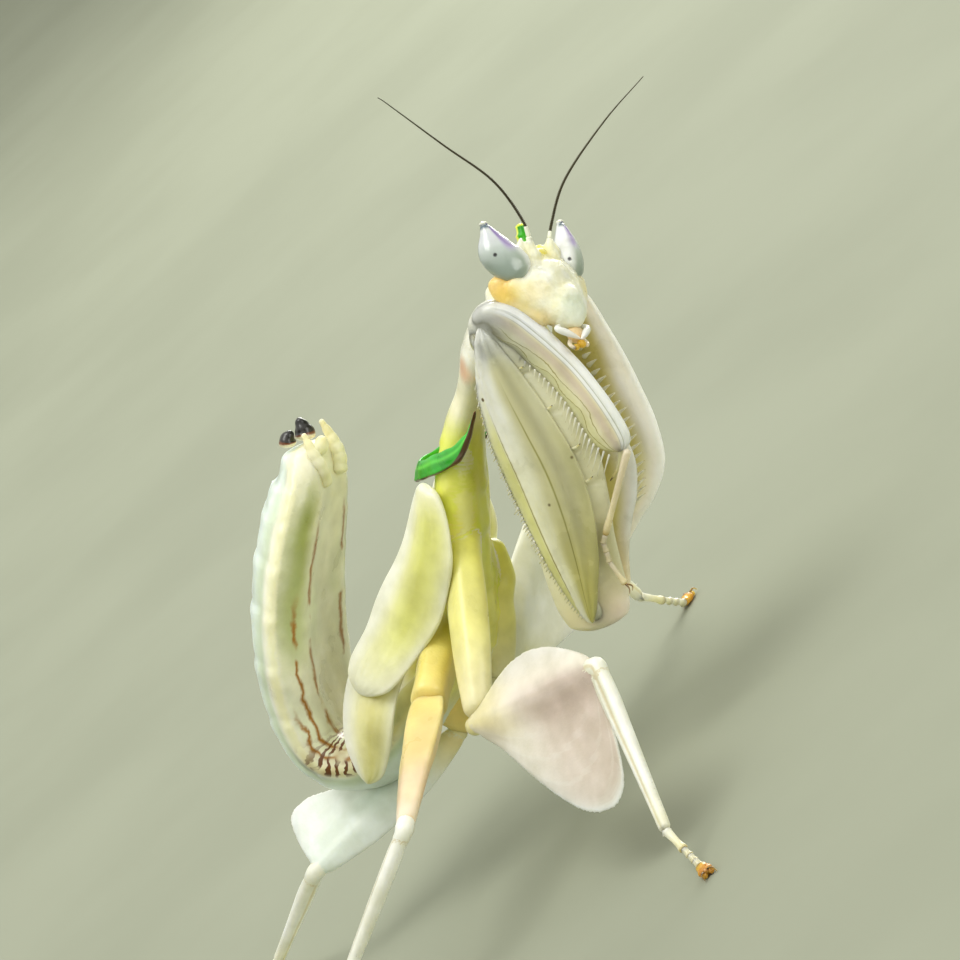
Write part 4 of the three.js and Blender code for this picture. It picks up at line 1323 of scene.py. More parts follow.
# Joints of the grasping legs on the trunk's own axes: ahead, left, back.
FORELEGS = {
    "right": {
        "hip": (5.4, -2.6, -2.1), "elbow": (-5.9, -2.5, -7.0), "femur": (-6.6, -1.25, -7.4),
        "knee": (6.5, -1.45, -2.5), "claw": (1.5, -1.4, -7.6),
    },
    "left": {
        "hip": (5.4, 2.6, -2.1), "elbow": (-6.2, 2.7, -5.2), "femur": (-6.9, 1.4, -5.5),
        "knee": (6.7, 1.9, -4.75), "claw": (-0.7, 1.5, -8.35),
    },
}
COXA, FEMUR, FAR_PLATE, TIBIA, TARSUS, SPINE, SMALL_SPINE, FORE_CLAW = 0.0, 1.0, 1.5, 2.0, 3.0, 4.0, 4.5, 5.0
COXA_REACH = {"right": 12.45, "left": 12.4}
# Along the coxa: place, outer and inner edge. The places are drawn to a reach of COXA_MODEL.
COXA_MODEL = 12.85
COXA_STOPS = (-0.85, 0.2, 2.0, 4.0, 6.0, 8.0, 10.0, 11.7, COXA_MODEL)
COXA_OUTER = (0.1, -0.4, -1.05, -1.32, -1.33, -1.28, -1.1, -0.75, -0.4)
COXA_INNER = (0.55, 0.78, 1.2, 1.65, 1.92, 1.75, 1.22, 0.5, -0.05)
# Along the femur: place, back edge, groove edge, and how far out both lie on the right leg.
FEMUR_STOPS = (0.15, 0.7, 1.7, 3.8, 5.6, 7.6, 9.6, 11.6, 13.2, 14.75)
FEMUR_BACK = (-1.55, -1.85, -2.0, -1.9, -1.42, -1.05, -0.98, -1.12, -1.32, -0.9)
FEMUR_GROOVE = (0.6, 1.05, 1.32, 1.6, 2.0, 2.25, 1.95, 1.3, 1.2, 0.75)
FEMUR_OUT = (0.25, 0.35, 0.45, 0.55, 0.62, 0.62, 0.62, 0.66, 0.84, 0.88)
# The great spines: place along the femur, root, size.
FEMUR_SPINES = ((11.67, 0.3, 0.38), (9.75, 0.8, 0.5), (7.88, 1.3, 0.58), (6.4, 1.25, 0.66))
# Edges along the femur's axis and across it: the far plate, its row of spines, and the tibia.
FAR_PLATE_EDGE = (
    (14.0, 0.2), (13.3, 0.75), (12.4, 1.3), (11.2, 2.0), (9.8, 2.68), (8.3, 3.3),
    (6.6, 3.6), (5.1, 3.1), (4.1, 2.45), (2.8, 1.75), (0.9, 1.1),
)
FAR_ROW = ((11.4, 0.2), (9.4, 1.2), (8.2, 1.75), (7.0, 2.15), (5.7, 2.25), (4.7, 2.05))
TIBIA_RIDGE = (
    (14.85, -0.1), (14.2, 1.15), (12.9, 2.05), (11.3, 2.85),
    (10.0, 3.35), (8.8, 3.7), (7.8, 3.85), (7.15, 3.6),
)
TIBIA_COMB = (
    (14.2, -1.1), (13.2, -0.2), (12.15, 0.5), (11.2, 1.1),
    (10.1, 1.6), (9.0, 1.9), (7.9, 2.2), (7.25, 2.7),
)
HOOK = ((7.6, 3.3), (7.0, 3.15), (6.5, 2.8), (6.1, 2.3))
FORE_FOOT = ((7.25, 3.65), (4.05, 1.42), (3.75, 1.2), (3.36, 1.2), (2.92, 1.17), (1.85, 1.5))
FORE_FOOT_GIRTHS = ((0.17, 0.12), (0.13, 0.13), (0.13, 0.12), (0.13, 0.11), (0.1, 0.13))
FORE_FOOT_OUT = 1.05


class Foreleg:
    """One grasping leg: the plane of its coxa, that of the folded femur and tibia, and its skin."""

    def __init__(self, side, finish):
        self.side, self.right, self.finish = side, side == "right", finish
        joints = {name: trunk(*place) for name, place in FORELEGS[side].items()}
        outward = HAND[side] * LEFT
        down = unit(joints["elbow"] - joints["hip"])
        self.coxa = Axes(joints["hip"], down, square_to(-BACK, down), outward)
        along = unit(joints["knee"] - joints["femur"])
        towards = joints["claw"] - joints["femur"]
        towards = towards - along * (towards @ along)
        self.leg = Axes(joints["femur"], along, square_to(towards, outward), outward)
        self.stops = np.array(COXA_STOPS) * COXA_REACH[side] / COXA_MODEL
        self.skin = Skin()

    def build(self):
        self.add_coxa()
        self.add_femur()
        self.add_far_plate()
        self.add_tibia()
        self.add_foot()
        self.add_saw_teeth()
        return self.skin

    def spread(self, t):
        """How much of its width the folded leg keeps at a place; the left one is narrower at the knee."""
        return 1.0 if self.right else np.interp(t, (7.0, 14.0), (0.78, 0.42))

    def drop(self, t):
        """A place along the femur, lower near the knee of the left leg."""
        return t if self.right else t - 1.3 * smooth(6, 14.5, t)

    def over(self, t):
        """How far outside the femur's plane the tibia lies."""
        return np.interp(t, (11.8, 13.8), (0.82, 1.06)) * (1.0 if self.right else 0.6)

    def add_coxa(self):
        """A long thin leaf with a toothed outer margin and a second ridge beside it."""
        coxa, leg, hand, skin = self.coxa, self.leg, HAND[self.side], self.skin
        reach = COXA_REACH[self.side]

        def relief(walk, s, u, v):
            ridge = 0.1 * hump(u, -0.62 + 0.1 * s, 0.05) + 0.05 * hump(u, 0.1 + 0.25 * np.sin(s * 2.2), 0.05)
            teeth = 0.035 * np.abs(np.sin(walk * 7.5)) * hump(u, -0.62 + 0.1 * s, 0.06)
            margin = 0.03 * hump(u, -1, 0.06) * np.abs(np.sin(walk * 8.5))
            return smooth(0, 0.5, -hand * v) * (ridge + teeth) + margin + 0.02 * np.sin(u * 11 + walk)

        inner, outer = (
            [coxa.at(t, w, 0.05) for t, w in zip(self.stops, edge)] for edge in (COXA_INNER, COXA_OUTER))
        skin.blade(
            inner, outer, taper(0.42, 0.42, 0.4, 0.38, 0.36, 0.34, 0.32, 0.3, 0.26), rings=170, sides=64,
            power=2.3, rim=0.13, ridge=1.15, caps=(0.7, 0.6), kind=COXA, detail=relief)
        # the socket above it and the small joint that leads to the femur
        socket = [coxa.at(0.9, 0.2, -0.15), coxa.at(-0.2, 0.1, -0.4), trunk(5.0, hand * 1.2, -1.9)]
        skin.rod(socket, 0.55, 0.75, rings=30, sides=28, kind=COXA)
        bridge = [coxa.at(reach - 1.2, -0.15, -0.1), coxa.at(reach - 0.4, -0.1, -0.35)]
        bridge += leg.line(((0.5, -0.5, -0.05), (1.3, -0.3, 0.05)))
        skin.rod(bridge, 0.3, 0.36, rings=40, sides=28, kind=FEMUR)

    def add_femur(self):
        """A broad plate with panels between its great spines."""
        leg, hand = self.leg, HAND[self.side]
        ts, groove, outs = self.drop(np.array(FEMUR_STOPS)), np.array(FEMUR_GROOVE), np.array(FEMUR_OUT)
        if not self.right:
            groove = groove - 0.35 * smooth(9, 13, ts)
            outs = np.full_like(outs, 0.45)

        def relief(walk, s, u, v):
            t = ts[0] + walk
            cusps = sum(hump(t, place, 0.1) for place, _, _ in FEMUR_SPINES)
            margin = 0.1 + 0.06 * (11.6 - t)
            panels = smooth(margin, margin + 0.1, u) * (1 - np.minimum(cusps, 1))
            panels = panels * smooth(5.0, 5.8, t) * (1 - smooth(12.7, 13.2, t)) * smooth(0, 0.3, v * hand)
            knee = 0.1 * hump(t, 14.1, 0.6) - 0.03 * hump(t, 13.3, 0.12)
            return 0.08 * panels + 0.05 * hump(u, -0.25, 0.3) + knee * smooth(1.2, 0.6, np.abs(u))

        edges = ([leg.at(t, w, out) for t, w, out in zip(ts, edge, outs)] for edge in (groove, FEMUR_BACK))
        self.skin.blade(
            *edges, taper(0.5, 0.55, 0.55, 0.5, 0.48, 0.46, 0.45, 0.45, 0.48, 0.44), rings=210, sides=72,
            power=2.2, rim=0.2, ridge=1.4, caps=(0.42, 0.8), kind=FEMUR, detail=relief)
        for t, root, size in FEMUR_SPINES:
            end = leg.at(t + 0.3 * size, root + size, 1.32)
            path = [leg.at(t, root - 0.2, 0.92), leg.at(t + 0.05, root + size * 0.45, 1.2), end]
            self.skin.rod(path, 0.1, 0.018, rings=16, sides=12, kind=SPINE, caps=(0.05, 0.02))

    def add_far_plate(self):
        """A smooth plate on the inner side, as wide as the folded leg, with a row of long pale spines."""
        leg = self.leg
        broad = 0.9 if self.right else 1.0
        edge = [leg.at(t, w * broad, -0.32) for t, w in FAR_PLATE_EDGE]
        far_edge = [leg.at(t, -1.1 - 0.25 * math.sin(t / 4), -0.1) for t, _ in FAR_PLATE_EDGE]
        self.skin.blade(
            edge, far_edge, steady(0.2), rings=150, sides=44, rim=0.1, ridge=1.3,
            caps=(0.6, 0.8), kind=FAR_PLATE,
            detail=lambda w, s, u, v: 0.025 * np.sin(u * 7 + 2 * s) * np.abs(v) + 0.05 * hump(u, 0.93, 0.08))
        row = through([leg.at(t, w, -0.6) for t, w in FAR_ROW], np.linspace(0, 1, 30))
        aim = np.array([0.6, 0.66, -0.42]) @ leg.ways
        add_comb(
            self.skin, row, self.finish, SMALL_SPINE, 19, (0.5, 1.3), 0.12, aim,
            Curve=0.5, Jitter=0.25, Seed=4)

    def add_tibia(self):
        """Folded back along the groove, with its comb of ever longer spines and the end hook."""
        leg, spread, drop, over = self.leg, self.spread, self.drop, self.over

        def relief(walk, s, u, v):
            lines = 0.07 * hump(u, 0.78, 0.06) + 0.05 * hump(u, 0.6, 0.04)
            lines = lines - 0.05 * hump(u, 0.69, 0.03) + 0.03 * hump(u, 0.44, 0.04)
            wavy = 0.04 * hump(u, -0.55 + 0.12 * np.sin(walk * 3.2), 0.06)
            wavy = wavy + 0.035 * hump(u, -0.2 + 0.1 * np.sin(walk * 2.3 + 1), 0.05)
            return (lines + wavy * (1 - smooth(0.8, 0.95, s))) * smooth(0.04, 0.14, s)

        edges = (
            [leg.at(drop(t), w * spread(t), over(t)) for t, w in edge] for edge in (TIBIA_RIDGE, TIBIA_COMB))
        self.skin.blade(
            *edges, taper(0.42, 0.44, 0.4, 0.36, 0.34, 0.33, 0.3, 0.24), rings=150, sides=72, power=2.5,
            caps=(0.6, 0.35), kind=TIBIA, detail=relief)
        roots = [leg.at(drop(t), w * spread(t) + 0.12, over(t) + 0.28) for t, w in TIBIA_COMB[2:]]
        teeth = through(roots, np.linspace(0, 1, 30))
        aim = np.array([-0.8, -0.6, 0.05]) @ leg.ways
        add_comb(
            self.skin, teeth, self.finish, SMALL_SPINE, 22, (0.22, 1.15), 0.048, aim,
            Curve=0.9, Jitter=0.08, Seed=2)
        hook = [leg.at(t, w * spread(t), 0.75) for t, w in HOOK]
        self.skin.rod(hook, 0.2, 0.02, rings=26, sides=16, kind=SPINE, caps=(0.1, 0.02))

    def add_foot(self):
        """The slender foot, carried folded down, with two small claws."""
        leg = self.leg
        joints = [leg.at(t, w * self.spread(t), FORE_FOOT_OUT) for t, w in FORE_FOOT]
        for start, end, girth in zip(joints, joints[1:], FORE_FOOT_GIRTHS):
            self.skin.rod(
                [start, (start + end) / 2, end + 0.05 * unit(end - start)], *girth,
                rings=26, sides=18, kind=TARSUS,
                detail=lambda w, s, u, v: 0.035 * hump(s, 0.9, 0.1) - 0.012 * hump(s, 0.5, 0.3))
        along, towards, outward = leg.ways
        foot = joints[-1]
        for turn in (-1, 1):
            point = foot - 0.42 * along + 0.12 * towards + turn * 0.2 * outward
            bow = (foot + point) / 2 + 0.12 * towards + turn * 0.1 * outward
            self.skin.rod([foot, bow, point], 0.045, 0.012, rings=12, sides=10, kind=FORE_CLAW)

    def add_saw_teeth(self):
        """Saw teeth on the coxa's margin, every fifth one longer."""
        places = np.linspace(1.5, COXA_REACH[self.side] - 0.4, 60)
        margin = [self.coxa.at(t, np.interp(t, self.stops, COXA_OUTER) + 0.03, 0.05) for t in places]
        aim = 0.7 * self.coxa.ways[0] - self.coxa.ways[1]
        add_comb(
            self.skin, margin, self.finish, COXA, 70, (0.2, 0.24), 0.07, aim,
            Jitter=0.5, Every=5, Every_Scale=1.5, Seed=6)


def coxa_colour(p, clouds, run, u, colours):
    """A dull yellow-green wash with a pale margin, two brownish ridges, and grey painted shade on its inner
    half, where the femur lies behind it.
    """
    wash = p.layers(
        p.ramp(clouds, (0.3, (204, 200, 156)), (0.7, (220, 216, 180))),
        ((200, 194, 116), p.band(run, 0.5, 0.9)),
        # grey on the inner half, upper part: painted shade where the femur lies behind the leaf
        ((178, 174, 138), p.mound(u, 0.5, 0.3), p.band(run, 0.85, 0.55), 0.7))
    below = p.band(run, 0.2, 0.4)
    return p.layers(
        p.mix(p.band(p.waver(u, 400, 0.2), -0.4, 0.05), (240, 238, 204), wash),
        (colours.ivory[:], p.band(run, 0.62, 0.3), p.band(u, 0.2, -0.35)),
        ((228, 226, 132), p.band(u, -0.62, -0.72), below, 0.7),
        ((158, 150, 62), p.mound(u, -0.62, 0.05), p.band(run, 0.25, 0.4)),
        ((158, 154, 86), p.mound(u, 0.18, 0.04), below),
        # grey along the inner edge, lower part: the same painted shade
        ((178, 174, 120), p.band(u, 0.6, 0.98), p.band(run, 0.25, 0.5), 0.6),
        (PEARL, p.band(run, 0.22, 0.06)))


def far_plate_colour(p, run, u):
    """Rosy white, with yellow-olive painted shadow behind the spines."""
    shadow_across = p.math("SUBTRACT", p.waver(u, 500, 0.2), p.math("MULTIPLY", p.band(run, 0.3, 0.7), 0.3))
    return p.layers(
        # yellow-olive near the spines: painted shadow between the near leg's edge and the row
        p.mix(p.band(shadow_across, 0.2, 0.62), (214, 202, 128), (252, 242, 232)),
        ((252, 250, 242), p.band(u, 0.8, 0.95)),
        ((240, 216, 176), p.band(run, 0.75, 1.0)))


def tibia_colour(p, run, u):
    """A pearly ridge brightened with a painted highlight, painted shade in its fine grooves, a mauve flank
    and two wavy olive lines.
    """
    grooves = p.band(run, 0.1, 0.2)
    tibia = p.layers(
        p.mix(p.mound(p.waver(u, 700, 0.2), 0.18, 0.5), (242, 236, 200), (226, 212, 194)),
        # pearly white over the ridge side: its pale colour with a painted highlight
        ((250, 252, 250), p.band(u, 0.42, 0.58)),
        # grey lines in the two fine grooves: painted shade
        ((206, 208, 196), p.mound(u, 0.69, 0.04), grooves),
        ((206, 200, 190), p.mound(u, 0.5, 0.035), grooves),
        ((232, 228, 178), p.band(u, -0.2, -0.6), p.band(run, 0.1, 0.3)))
    for place, pace, scale in ((-0.55, 3.2, 0.12), (-0.2, 2.3, 0.1)):
        wave = p.math("MULTIPLY", p.math("SINE", p.math("MULTIPLY", p.note("along"), pace)), scale)
        line = p.mound(p.waver(p.math("SUBTRACT", u, wave), 2500, 0.2), place, 0.04)
        tibia = p.layer(tibia, (166, 154, 70), line, grooves, 0.9)
    return p.layer(tibia, PEARL, p.band(run, 0.16, 0.04))


def foreleg_finish(colours, side):
    p = Paint(f"Foreleg petal {side}")
    kind, run, u = p.note("kind"), p.note("reach"), p.note("across")
    clouds = p.noise(330, 3, (1.0, 1.0, 0.5))
    femur = p.layers(
        p.ramp(clouds, (0.3, (232, 228, 186)), (0.7, (242, 238, 206))),
        ((248, 232, 190), p.band(run, 0.3, 0.08)),
        ((240, 222, 206), p.band(run, 0.3, 0.1), p.band(u, 0.0, 0.8)),
        (PEARL, p.band(run, 0.84, 0.93)))
    tarsus = p.ramp(run, (0.0, (236, 216, 190)), (0.9, (236, 214, 168)), (1.0, (206, 168, 100)))
    spine = p.ramp(
        run, (0.0, (238, 234, 196)), (0.5, (236, 230, 176)), (0.84, (204, 184, 104)),
        (0.92, (48, 34, 18)), (1.0, (20, 14, 9)))
    small = p.ramp(run, (0.0, (254, 252, 238)), (0.85, (250, 246, 216)), (1.0, (206, 184, 120)))
    base = p.layers(
        coxa_colour(p, clouds, run, u, colours),
        (femur, p.band(kind, 0.4, 0.6)),
        (far_plate_colour(p, run, u), p.band(kind, 1.25, 1.35)),
        (tibia_colour(p, run, u), p.band(kind, 1.6, 1.8)),
        (tarsus, p.band(kind, 2.4, 2.6)),
        (spine, p.band(kind, 3.4, 3.6)),
        (small, p.band(kind, 4.2, 4.3)),
        ((64, 44, 20), p.band(kind, 4.7, 4.9)),
        ((96, 80, 36), p.band(p.cells(430.0), 0.05, 0.02), p.band(kind, 2.5, 2.2)))
    veins = p.math("MULTIPLY", p.noise(900, 3, (1.0, 1.0, 0.4)), 1.2)
    return p.finish(base, bump=0.03, roughness=0.3, extra=veins, **PETAL)


# --- walking legs

# How far each thigh lobe leans towards the knee, and its twist in degrees.
LOBE_LEAN = {"mid_right": 0.42, "mid_left": 0.42, "hind_right": 0.2, "hind_left": 0.2}
LOBE_TWIST = {"mid_right": 0, "mid_left": 0, "hind_right": -20, "hind_left": -75}
# Width of the lobes from hip to knee, and of the other edge.
MID_LOBE = np.array((0.3, 0.62, 0.88, 1.06, 1.13, 1.1, 0.86))
LOBES = {
    "mid_right": (0.42, *(5.1 * MID_LOBE), 0.4),
    "mid_left": (0.42, *(4.9 * MID_LOBE), 0.4),
    "hind_right": (0.95, 1.2, 1.25, 1.2, 1.08, 0.95, 0.8, 0.62, 0.42),
    "hind_left": (0.45, 0.5, 0.62, 0.95, 1.6, 2.4, 2.95, 2.6, 0.5),
}
PLAIN_EDGE = (0.42, 0.75, 1.0, 1.1, 1.1, 1.0, 0.75, 0.45)
EDGES = {
    "mid_right": (0.4, 0.85, 1.4, 1.8, 1.95, 1.8, 1.3, 0.5),
    "mid_left": PLAIN_EDGE,
    "hind_right": (0.95, 1.15, 1.15, 1.02, 0.88, 0.74, 0.6, 0.4),
    "hind_left": PLAIN_EDGE,
}
THICKNESS = (0.42, 0.5, 0.52, 0.52, 0.5, 0.44, 0.36)
STOUT_THICKNESS = (0.75, 0.8, 0.75, 0.6, 0.5, 0.42, 0.36)
VEIN_PACE, VEIN_LEAN = 26.0, 0.55  # the fan of veins on the petals
TROCHANTER, THIGH, SHIN, SHIN_SPUR, FOOT, SOLE, CLAW = -1.0, 0.0, 1.0, 1.2, 2.0, 3.0, 4.0
FLESH_GRAIN = 0.058
# The joints of a foot: where each ends between the ankle and the pad, and its girths.
FOOT_SHARES = (0.5, 0.68, 0.83)
FOOT_GIRTHS = ((0.2, 0.15), (0.15, 0.15), (0.15, 0.16), (0.16, 0.18))


def walking_joints(leg):
    """Trochanter, knee, ankle and toe of a leg, from the ends of its solids."""
    hip, low = hip_and_trochanter(leg)
    trochanter = low + 0.45 * unit(low - hip)
    upper, lower = ends(f"{leg}_tibia", middle(f"{leg}_femur"))
    way = unit(lower - upper)
    knee, ankle = upper - 0.25 * way, lower + 0.2 * way
    toe = ends(f"{leg}_tarsus", ankle)[1]
    return trochanter, knee, ankle, np.array([toe[0], toe[1], 0.0])


def thigh_relief(walk, s, u, v):
    fan = np.sin((u + VEIN_LEAN * s) * VEIN_PACE)
    return 0.008 * fan * smooth(0.1, 0.5, u) + 0.03 * np.sin(s * 5 + 3 * u) * smooth(0.2, 0.8, u) * np.sign(v)


def shin_relief(walk, s, u, v):
    pleats = 0.05 * hump(u, 0.55, 0.14) + 0.05 * hump(u, -0.35, 0.14) - 0.04 * hump(u, 0.1, 0.12)
    return pleats * smooth(0.03, 0.1, s) + 0.03 * hump(np.abs(u), 1, 0.1)


def foot_relief(walk, s, u, v):
    return 0.05 * hump(s, 0.9, 0.12) + 0.03 * hump(s, 0.05, 0.08) - 0.02 * hump(s, 0.5, 0.3)


def thigh_and_shin(leg, trochanter, knee, ankle):
    """The petal-lobed thigh, the knee and the shin, grown together."""
    stout = leg == "hind_right"
    way, down = unit(knee - trochanter), unit(ankle - knee)
    flexor = square_to(ankle - knee, way)
    flexor = np.array(Matrix.Rotation(math.radians(LOBE_TWIST[leg]), 3, Vector(way)) @ Vector(flexor))
    skin = Skin()
    start, end = trochanter - 0.35 * way, knee - 0.12 * way
    skin.loft(
        [start + (end - start) * t for t in np.linspace(0, 1, 6)], flexor, taper(*LOBES[leg]),
        taper(*(STOUT_THICKNESS if stout else THICKNESS)), left=taper(*EDGES[leg]),
        rings=150, sides=96, power=2.1, rim=0.16, ridge=0.8, lean=LOBE_LEAN[leg], caps=(0.4, 0.45),
        kind=THIGH, detail=thigh_relief)
    ring = [trochanter - 0.7 * way, trochanter + 0.4 * way]
    skin.rod(ring, 0.72 if stout else 0.42, rings=18, sides=28, kind=THIGH if stout else TROCHANTER)
    bend = [knee - 0.65 * way - 0.05 * down, knee - 0.1 * way]
    bend += [knee + 0.1 * way + 0.15 * down, knee + 0.75 * down]
    skin.rod(
        bend, 0.36, 0.34, rings=34, sides=28, kind=SHIN, detail=lambda w, s, u, v: 0.05 * hump(s, 0.4, 0.18))
    skin.loft(
        [knee + 0.2 * down, knee + (ankle - knee) * 0.5, ankle], square_to(way, down),
        taper(0.38, 0.46, 0.4, 0.36, 0.3, 0.26), taper(0.3, 0.3, 0.28, 0.24, 0.22, 0.2),
        rings=110, sides=44, power=2.6, caps=(0.3, 0.2), kind=SHIN, detail=shin_relief)
    return fused(skin, f"{leg}_flesh", FLESH_GRAIN, 4)


def add_walking_foot(skin, ankle, toe):
    """Five foot joints, the last on the ground, with its pads and claws."""
    level = unit(np.array([toe[0] - ankle[0], toe[1] - ankle[1], 0.0]))
    upright = np.array([0.0, 0.0, 1.0])
    foot = Axes(toe, level, np.cross(upright, level), upright)
    stand = foot.at(-1.15, 0, 0.3)
    stops = [ankle, *(ankle + share * (stand - ankle) for share in FOOT_SHARES), stand]
    for a, b, girth in zip(stops, stops[1:], FOOT_GIRTHS):
        path = [a - 0.04 * (b - a), (a + b) / 2, b + 0.06 * (b - a) - 0.05 * upright]
        skin.rod(path, *girth, rings=34, sides=20, kind=FOOT, detail=foot_relief)
    pad = foot.line(((-1.25, 0, 0.3), (-0.8, 0, 0.22), (-0.25, 0, 0.2)))
    skin.loft(
        pad, foot.ways[1], taper(0.16, 0.26, 0.3, 0.24), taper(0.16, 0.2, 0.2, 0.17), rings=44, sides=28,
        kind=SOLE, caps=(0.15, 0.2), detail=lambda w, s, u, v: 0.03 * np.sin(w * 12) * np.abs(u))
    for hand in (-1, 1):
        lobe = foot.line(((-0.5, hand * 0.08, 0.17), (-0.15, hand * 0.2, 0.14)))
        skin.rod(lobe, 0.13, 0.12, rings=14, sides=16, kind=SOLE)
        claw = foot.line(((-0.35, hand * 0.1, 0.26), (-0.08, hand * 0.26, 0.3), (0.1, hand * 0.3, 0.08)))
        skin.rod(claw, 0.06, 0.015, rings=14, sides=10, kind=CLAW, caps=(0.03, 0.02))


def walking_leg_skin(leg, finish):
    trochanter, knee, ankle, toe = walking_joints(leg)
    skin = absorb(Skin(), thigh_and_shin(leg, trochanter, knee, ankle))
    down = unit(ankle - knee)
    side = square_to(unit(knee - trochanter), down)
    for hand in (-1, 1):
        spur = [ankle - 0.25 * down, ankle + 0.2 * down + hand * 0.16 * np.cross(down, side) - 0.12 * side]
        skin.rod(spur, 0.1, 0.015, rings=12, sides=10, kind=SHIN_SPUR, caps=(0.05, 0.02))
    add_walking_foot(skin, ankle, toe)
    hairs = [ankle + (knee - ankle) * t + 0.3 * side for t in np.linspace(0.9, 0.06, 30)]
    add_comb(skin, hairs, finish, SHIN_SPUR, 26, (0.13, 0.16), 0.018, side + 0.7 * down, Jitter=0.6, Seed=5)
    return skin


def thigh_colour(p, leg, clouds, run, u, white):
    """Each petal has its own tint: cream, warm or bluish, the right middle one rosy with painted mauve-grey
    shade.
    """
    if leg == "mid_right":
        # mauve grey over the middle and outer petal: painted shade on its rosy tint
        mauve_shade = p.ramp(clouds, (0.3, (206, 188, 178)), (0.7, (222, 208, 198)))
        mask = p.times(p.band(p.waver(run, 260, 0.2), 0.25, 0.6), p.band(u, -0.5, 0.2), p.band(u, 1.0, 0.86))
        base = p.mix(mask, (236, 228, 216), mauve_shade)
        return p.layer(base, (244, 234, 190), p.band(run, 0.45, 0.1), p.band(u, 0.6, 0.0))
    if leg == "mid_left":
        return p.layer(white, (240, 236, 196), p.band(run, 0.5, 0.0))
    if leg == "hind_right":
        warm = p.ramp(
            run, (0.0, (248, 226, 140)), (0.4, (244, 220, 152)),
            (0.75, (228, 202, 172)), (1.0, (232, 216, 202)))
        return p.layer(warm, (240, 218, 170), p.band(clouds, 0.4, 0.7), 0.4)
    bluish = p.ramp(clouds, (0.3, (230, 240, 234)), (0.7, (244, 250, 246)))
    return p.layer(bluish, (232, 218, 160), p.band(run, 0.4, 0.0))


def walking_finish(colours, leg):
    p = Paint(f"Petal leg {leg.replace('_', ' ')}")
    kind, run, u = p.note("kind"), p.note("reach"), p.note("across")
    clouds = p.noise(260, 3)
    white = p.ramp(clouds, (0.3, (240, 240, 228)), (0.7, MILK))
    fan = p.math("MULTIPLY", p.math("ADD", u, p.math("MULTIPLY", run, VEIN_LEAN)), VEIN_PACE)
    veins = p.band(p.math("SINE", fan), 0.75, 1.0)
    thigh = p.layers(
        thigh_colour(p, leg, clouds, run, u, white),
        ((250, 250, 246), veins, p.band(u, 0.15, 0.5), p.band(u, 0.99, 0.8), 0.12),
        (MILK, p.band(u, 0.93, 0.99)))
    shin = p.mix(p.mound(u, 0.1, 0.35), (246, 246, 234), (222, 212, 182))
    shin = p.layer(shin, (230, 220, 170), p.band(run, 0.7, 1.0), 0.5)
    foot = p.ramp(run, (0.0, (240, 236, 208)), (0.8, (236, 224, 178)), (1.0, (214, 188, 124)))
    amber = p.ramp(p.noise(1300, 3), (0.3, (190, 120, 28)), (0.7, colours.amber[:]))
    base = p.layers(
        thigh,
        (shin, p.band(kind, 0.4, 0.6)),
        ((240, 230, 176), p.band(kind, -0.3, -0.8)),
        (foot, p.band(kind, 1.5, 1.7)),
        (amber, p.band(kind, 2.5, 2.7)),
        ((84, 52, 20), p.band(kind, 3.5, 3.7)))
    silk = p.math("MULTIPLY", p.noise(1500, 3, (1.0, 1.0, 0.5)), 0.9)
    return p.finish(base, bump=0.022, roughness=0.36, extra=silk, **PETAL)


# --- stage, in metres

FLOOR_SIDES = 96
FLOOR_FLAT, FLOOR_CURVE, FLOOR_TOP = 0.9, 0.3, 0.5
CAMERA_AZIMUTH, CAMERA_RISE, CAMERA_ROLL = -77.69, 12.05, 41.3  # degrees
CAMERA_TARGET = (-1.242, 0.024, -1.098)  # ahead, left, back
FRAME_WIDTH = 0.04  # width of the view at the mantis
SENSOR = 36.0
# Name, place to the right, up and towards the camera, distance, size, power and colour.
LAMPS = (
    ("key", (-0.75, 0.75, 0.55), 0.30, 0.2, 0.52, (1.0, 0.99, 0.95)),
    ("fill", (0.65, 0.3, 0.75), 0.34, 0.26, 0.66, (1.0, 0.99, 0.96)),
    ("rim", (0.1, 0.7, -0.8), 0.30, 0.2, 0.75, (1.0, 1.0, 0.93)),
)


def floor_piece():
    """A pale floor that curves up all round."""
    profile = [(0.25, 0.0), (0.55, 0.0), (FLOOR_FLAT, 0.0)]
    for a in np.linspace(0.1, math.pi / 2, 16):
        profile.append((FLOOR_FLAT + FLOOR_CURVE * math.sin(a), FLOOR_CURVE - FLOOR_CURVE * math.cos(a)))
    profile.append((FLOOR_FLAT + FLOOR_CURVE, FLOOR_TOP))
    turns = [2 * math.pi * i / FLOOR_SIDES for i in range(FLOOR_SIDES)]
    bm = bmesh.new()
    rings = [[bm.verts.new((r * math.cos(a), r * math.sin(a), up)) for a in turns] for r, up in profile]
    centre = bm.verts.new((0, 0, 0))
    for i in range(FLOOR_SIDES):
        following = (i + 1) % FLOOR_SIDES
        bm.faces.new((centre, rings[0][i], rings[0][following]))
        for low, high in zip(rings, rings[1:]):
            bm.faces.new((low[i], high[i], high[following], low[following]))
    drop_old("studio_floor")
    mesh = bpy.data.meshes.new("studio_floor")
    bm.to_mesh(mesh)
    bm.free()
    mesh.shade_smooth()
    p = Paint("Studio paper")
    base = p.ramp(p.noise(40, 4), (0.3, (138, 142, 124)), (0.7, (144, 148, 130)))
    p.put(p.shader.inputs["Base Color"], base)
    p.put(p.shader.inputs["Roughness"], 0.95)
    floor = bpy.data.objects.new("studio_floor", mesh)
    bpy.context.scene.collection.objects.link(floor)
    mesh.materials.append(p.material)


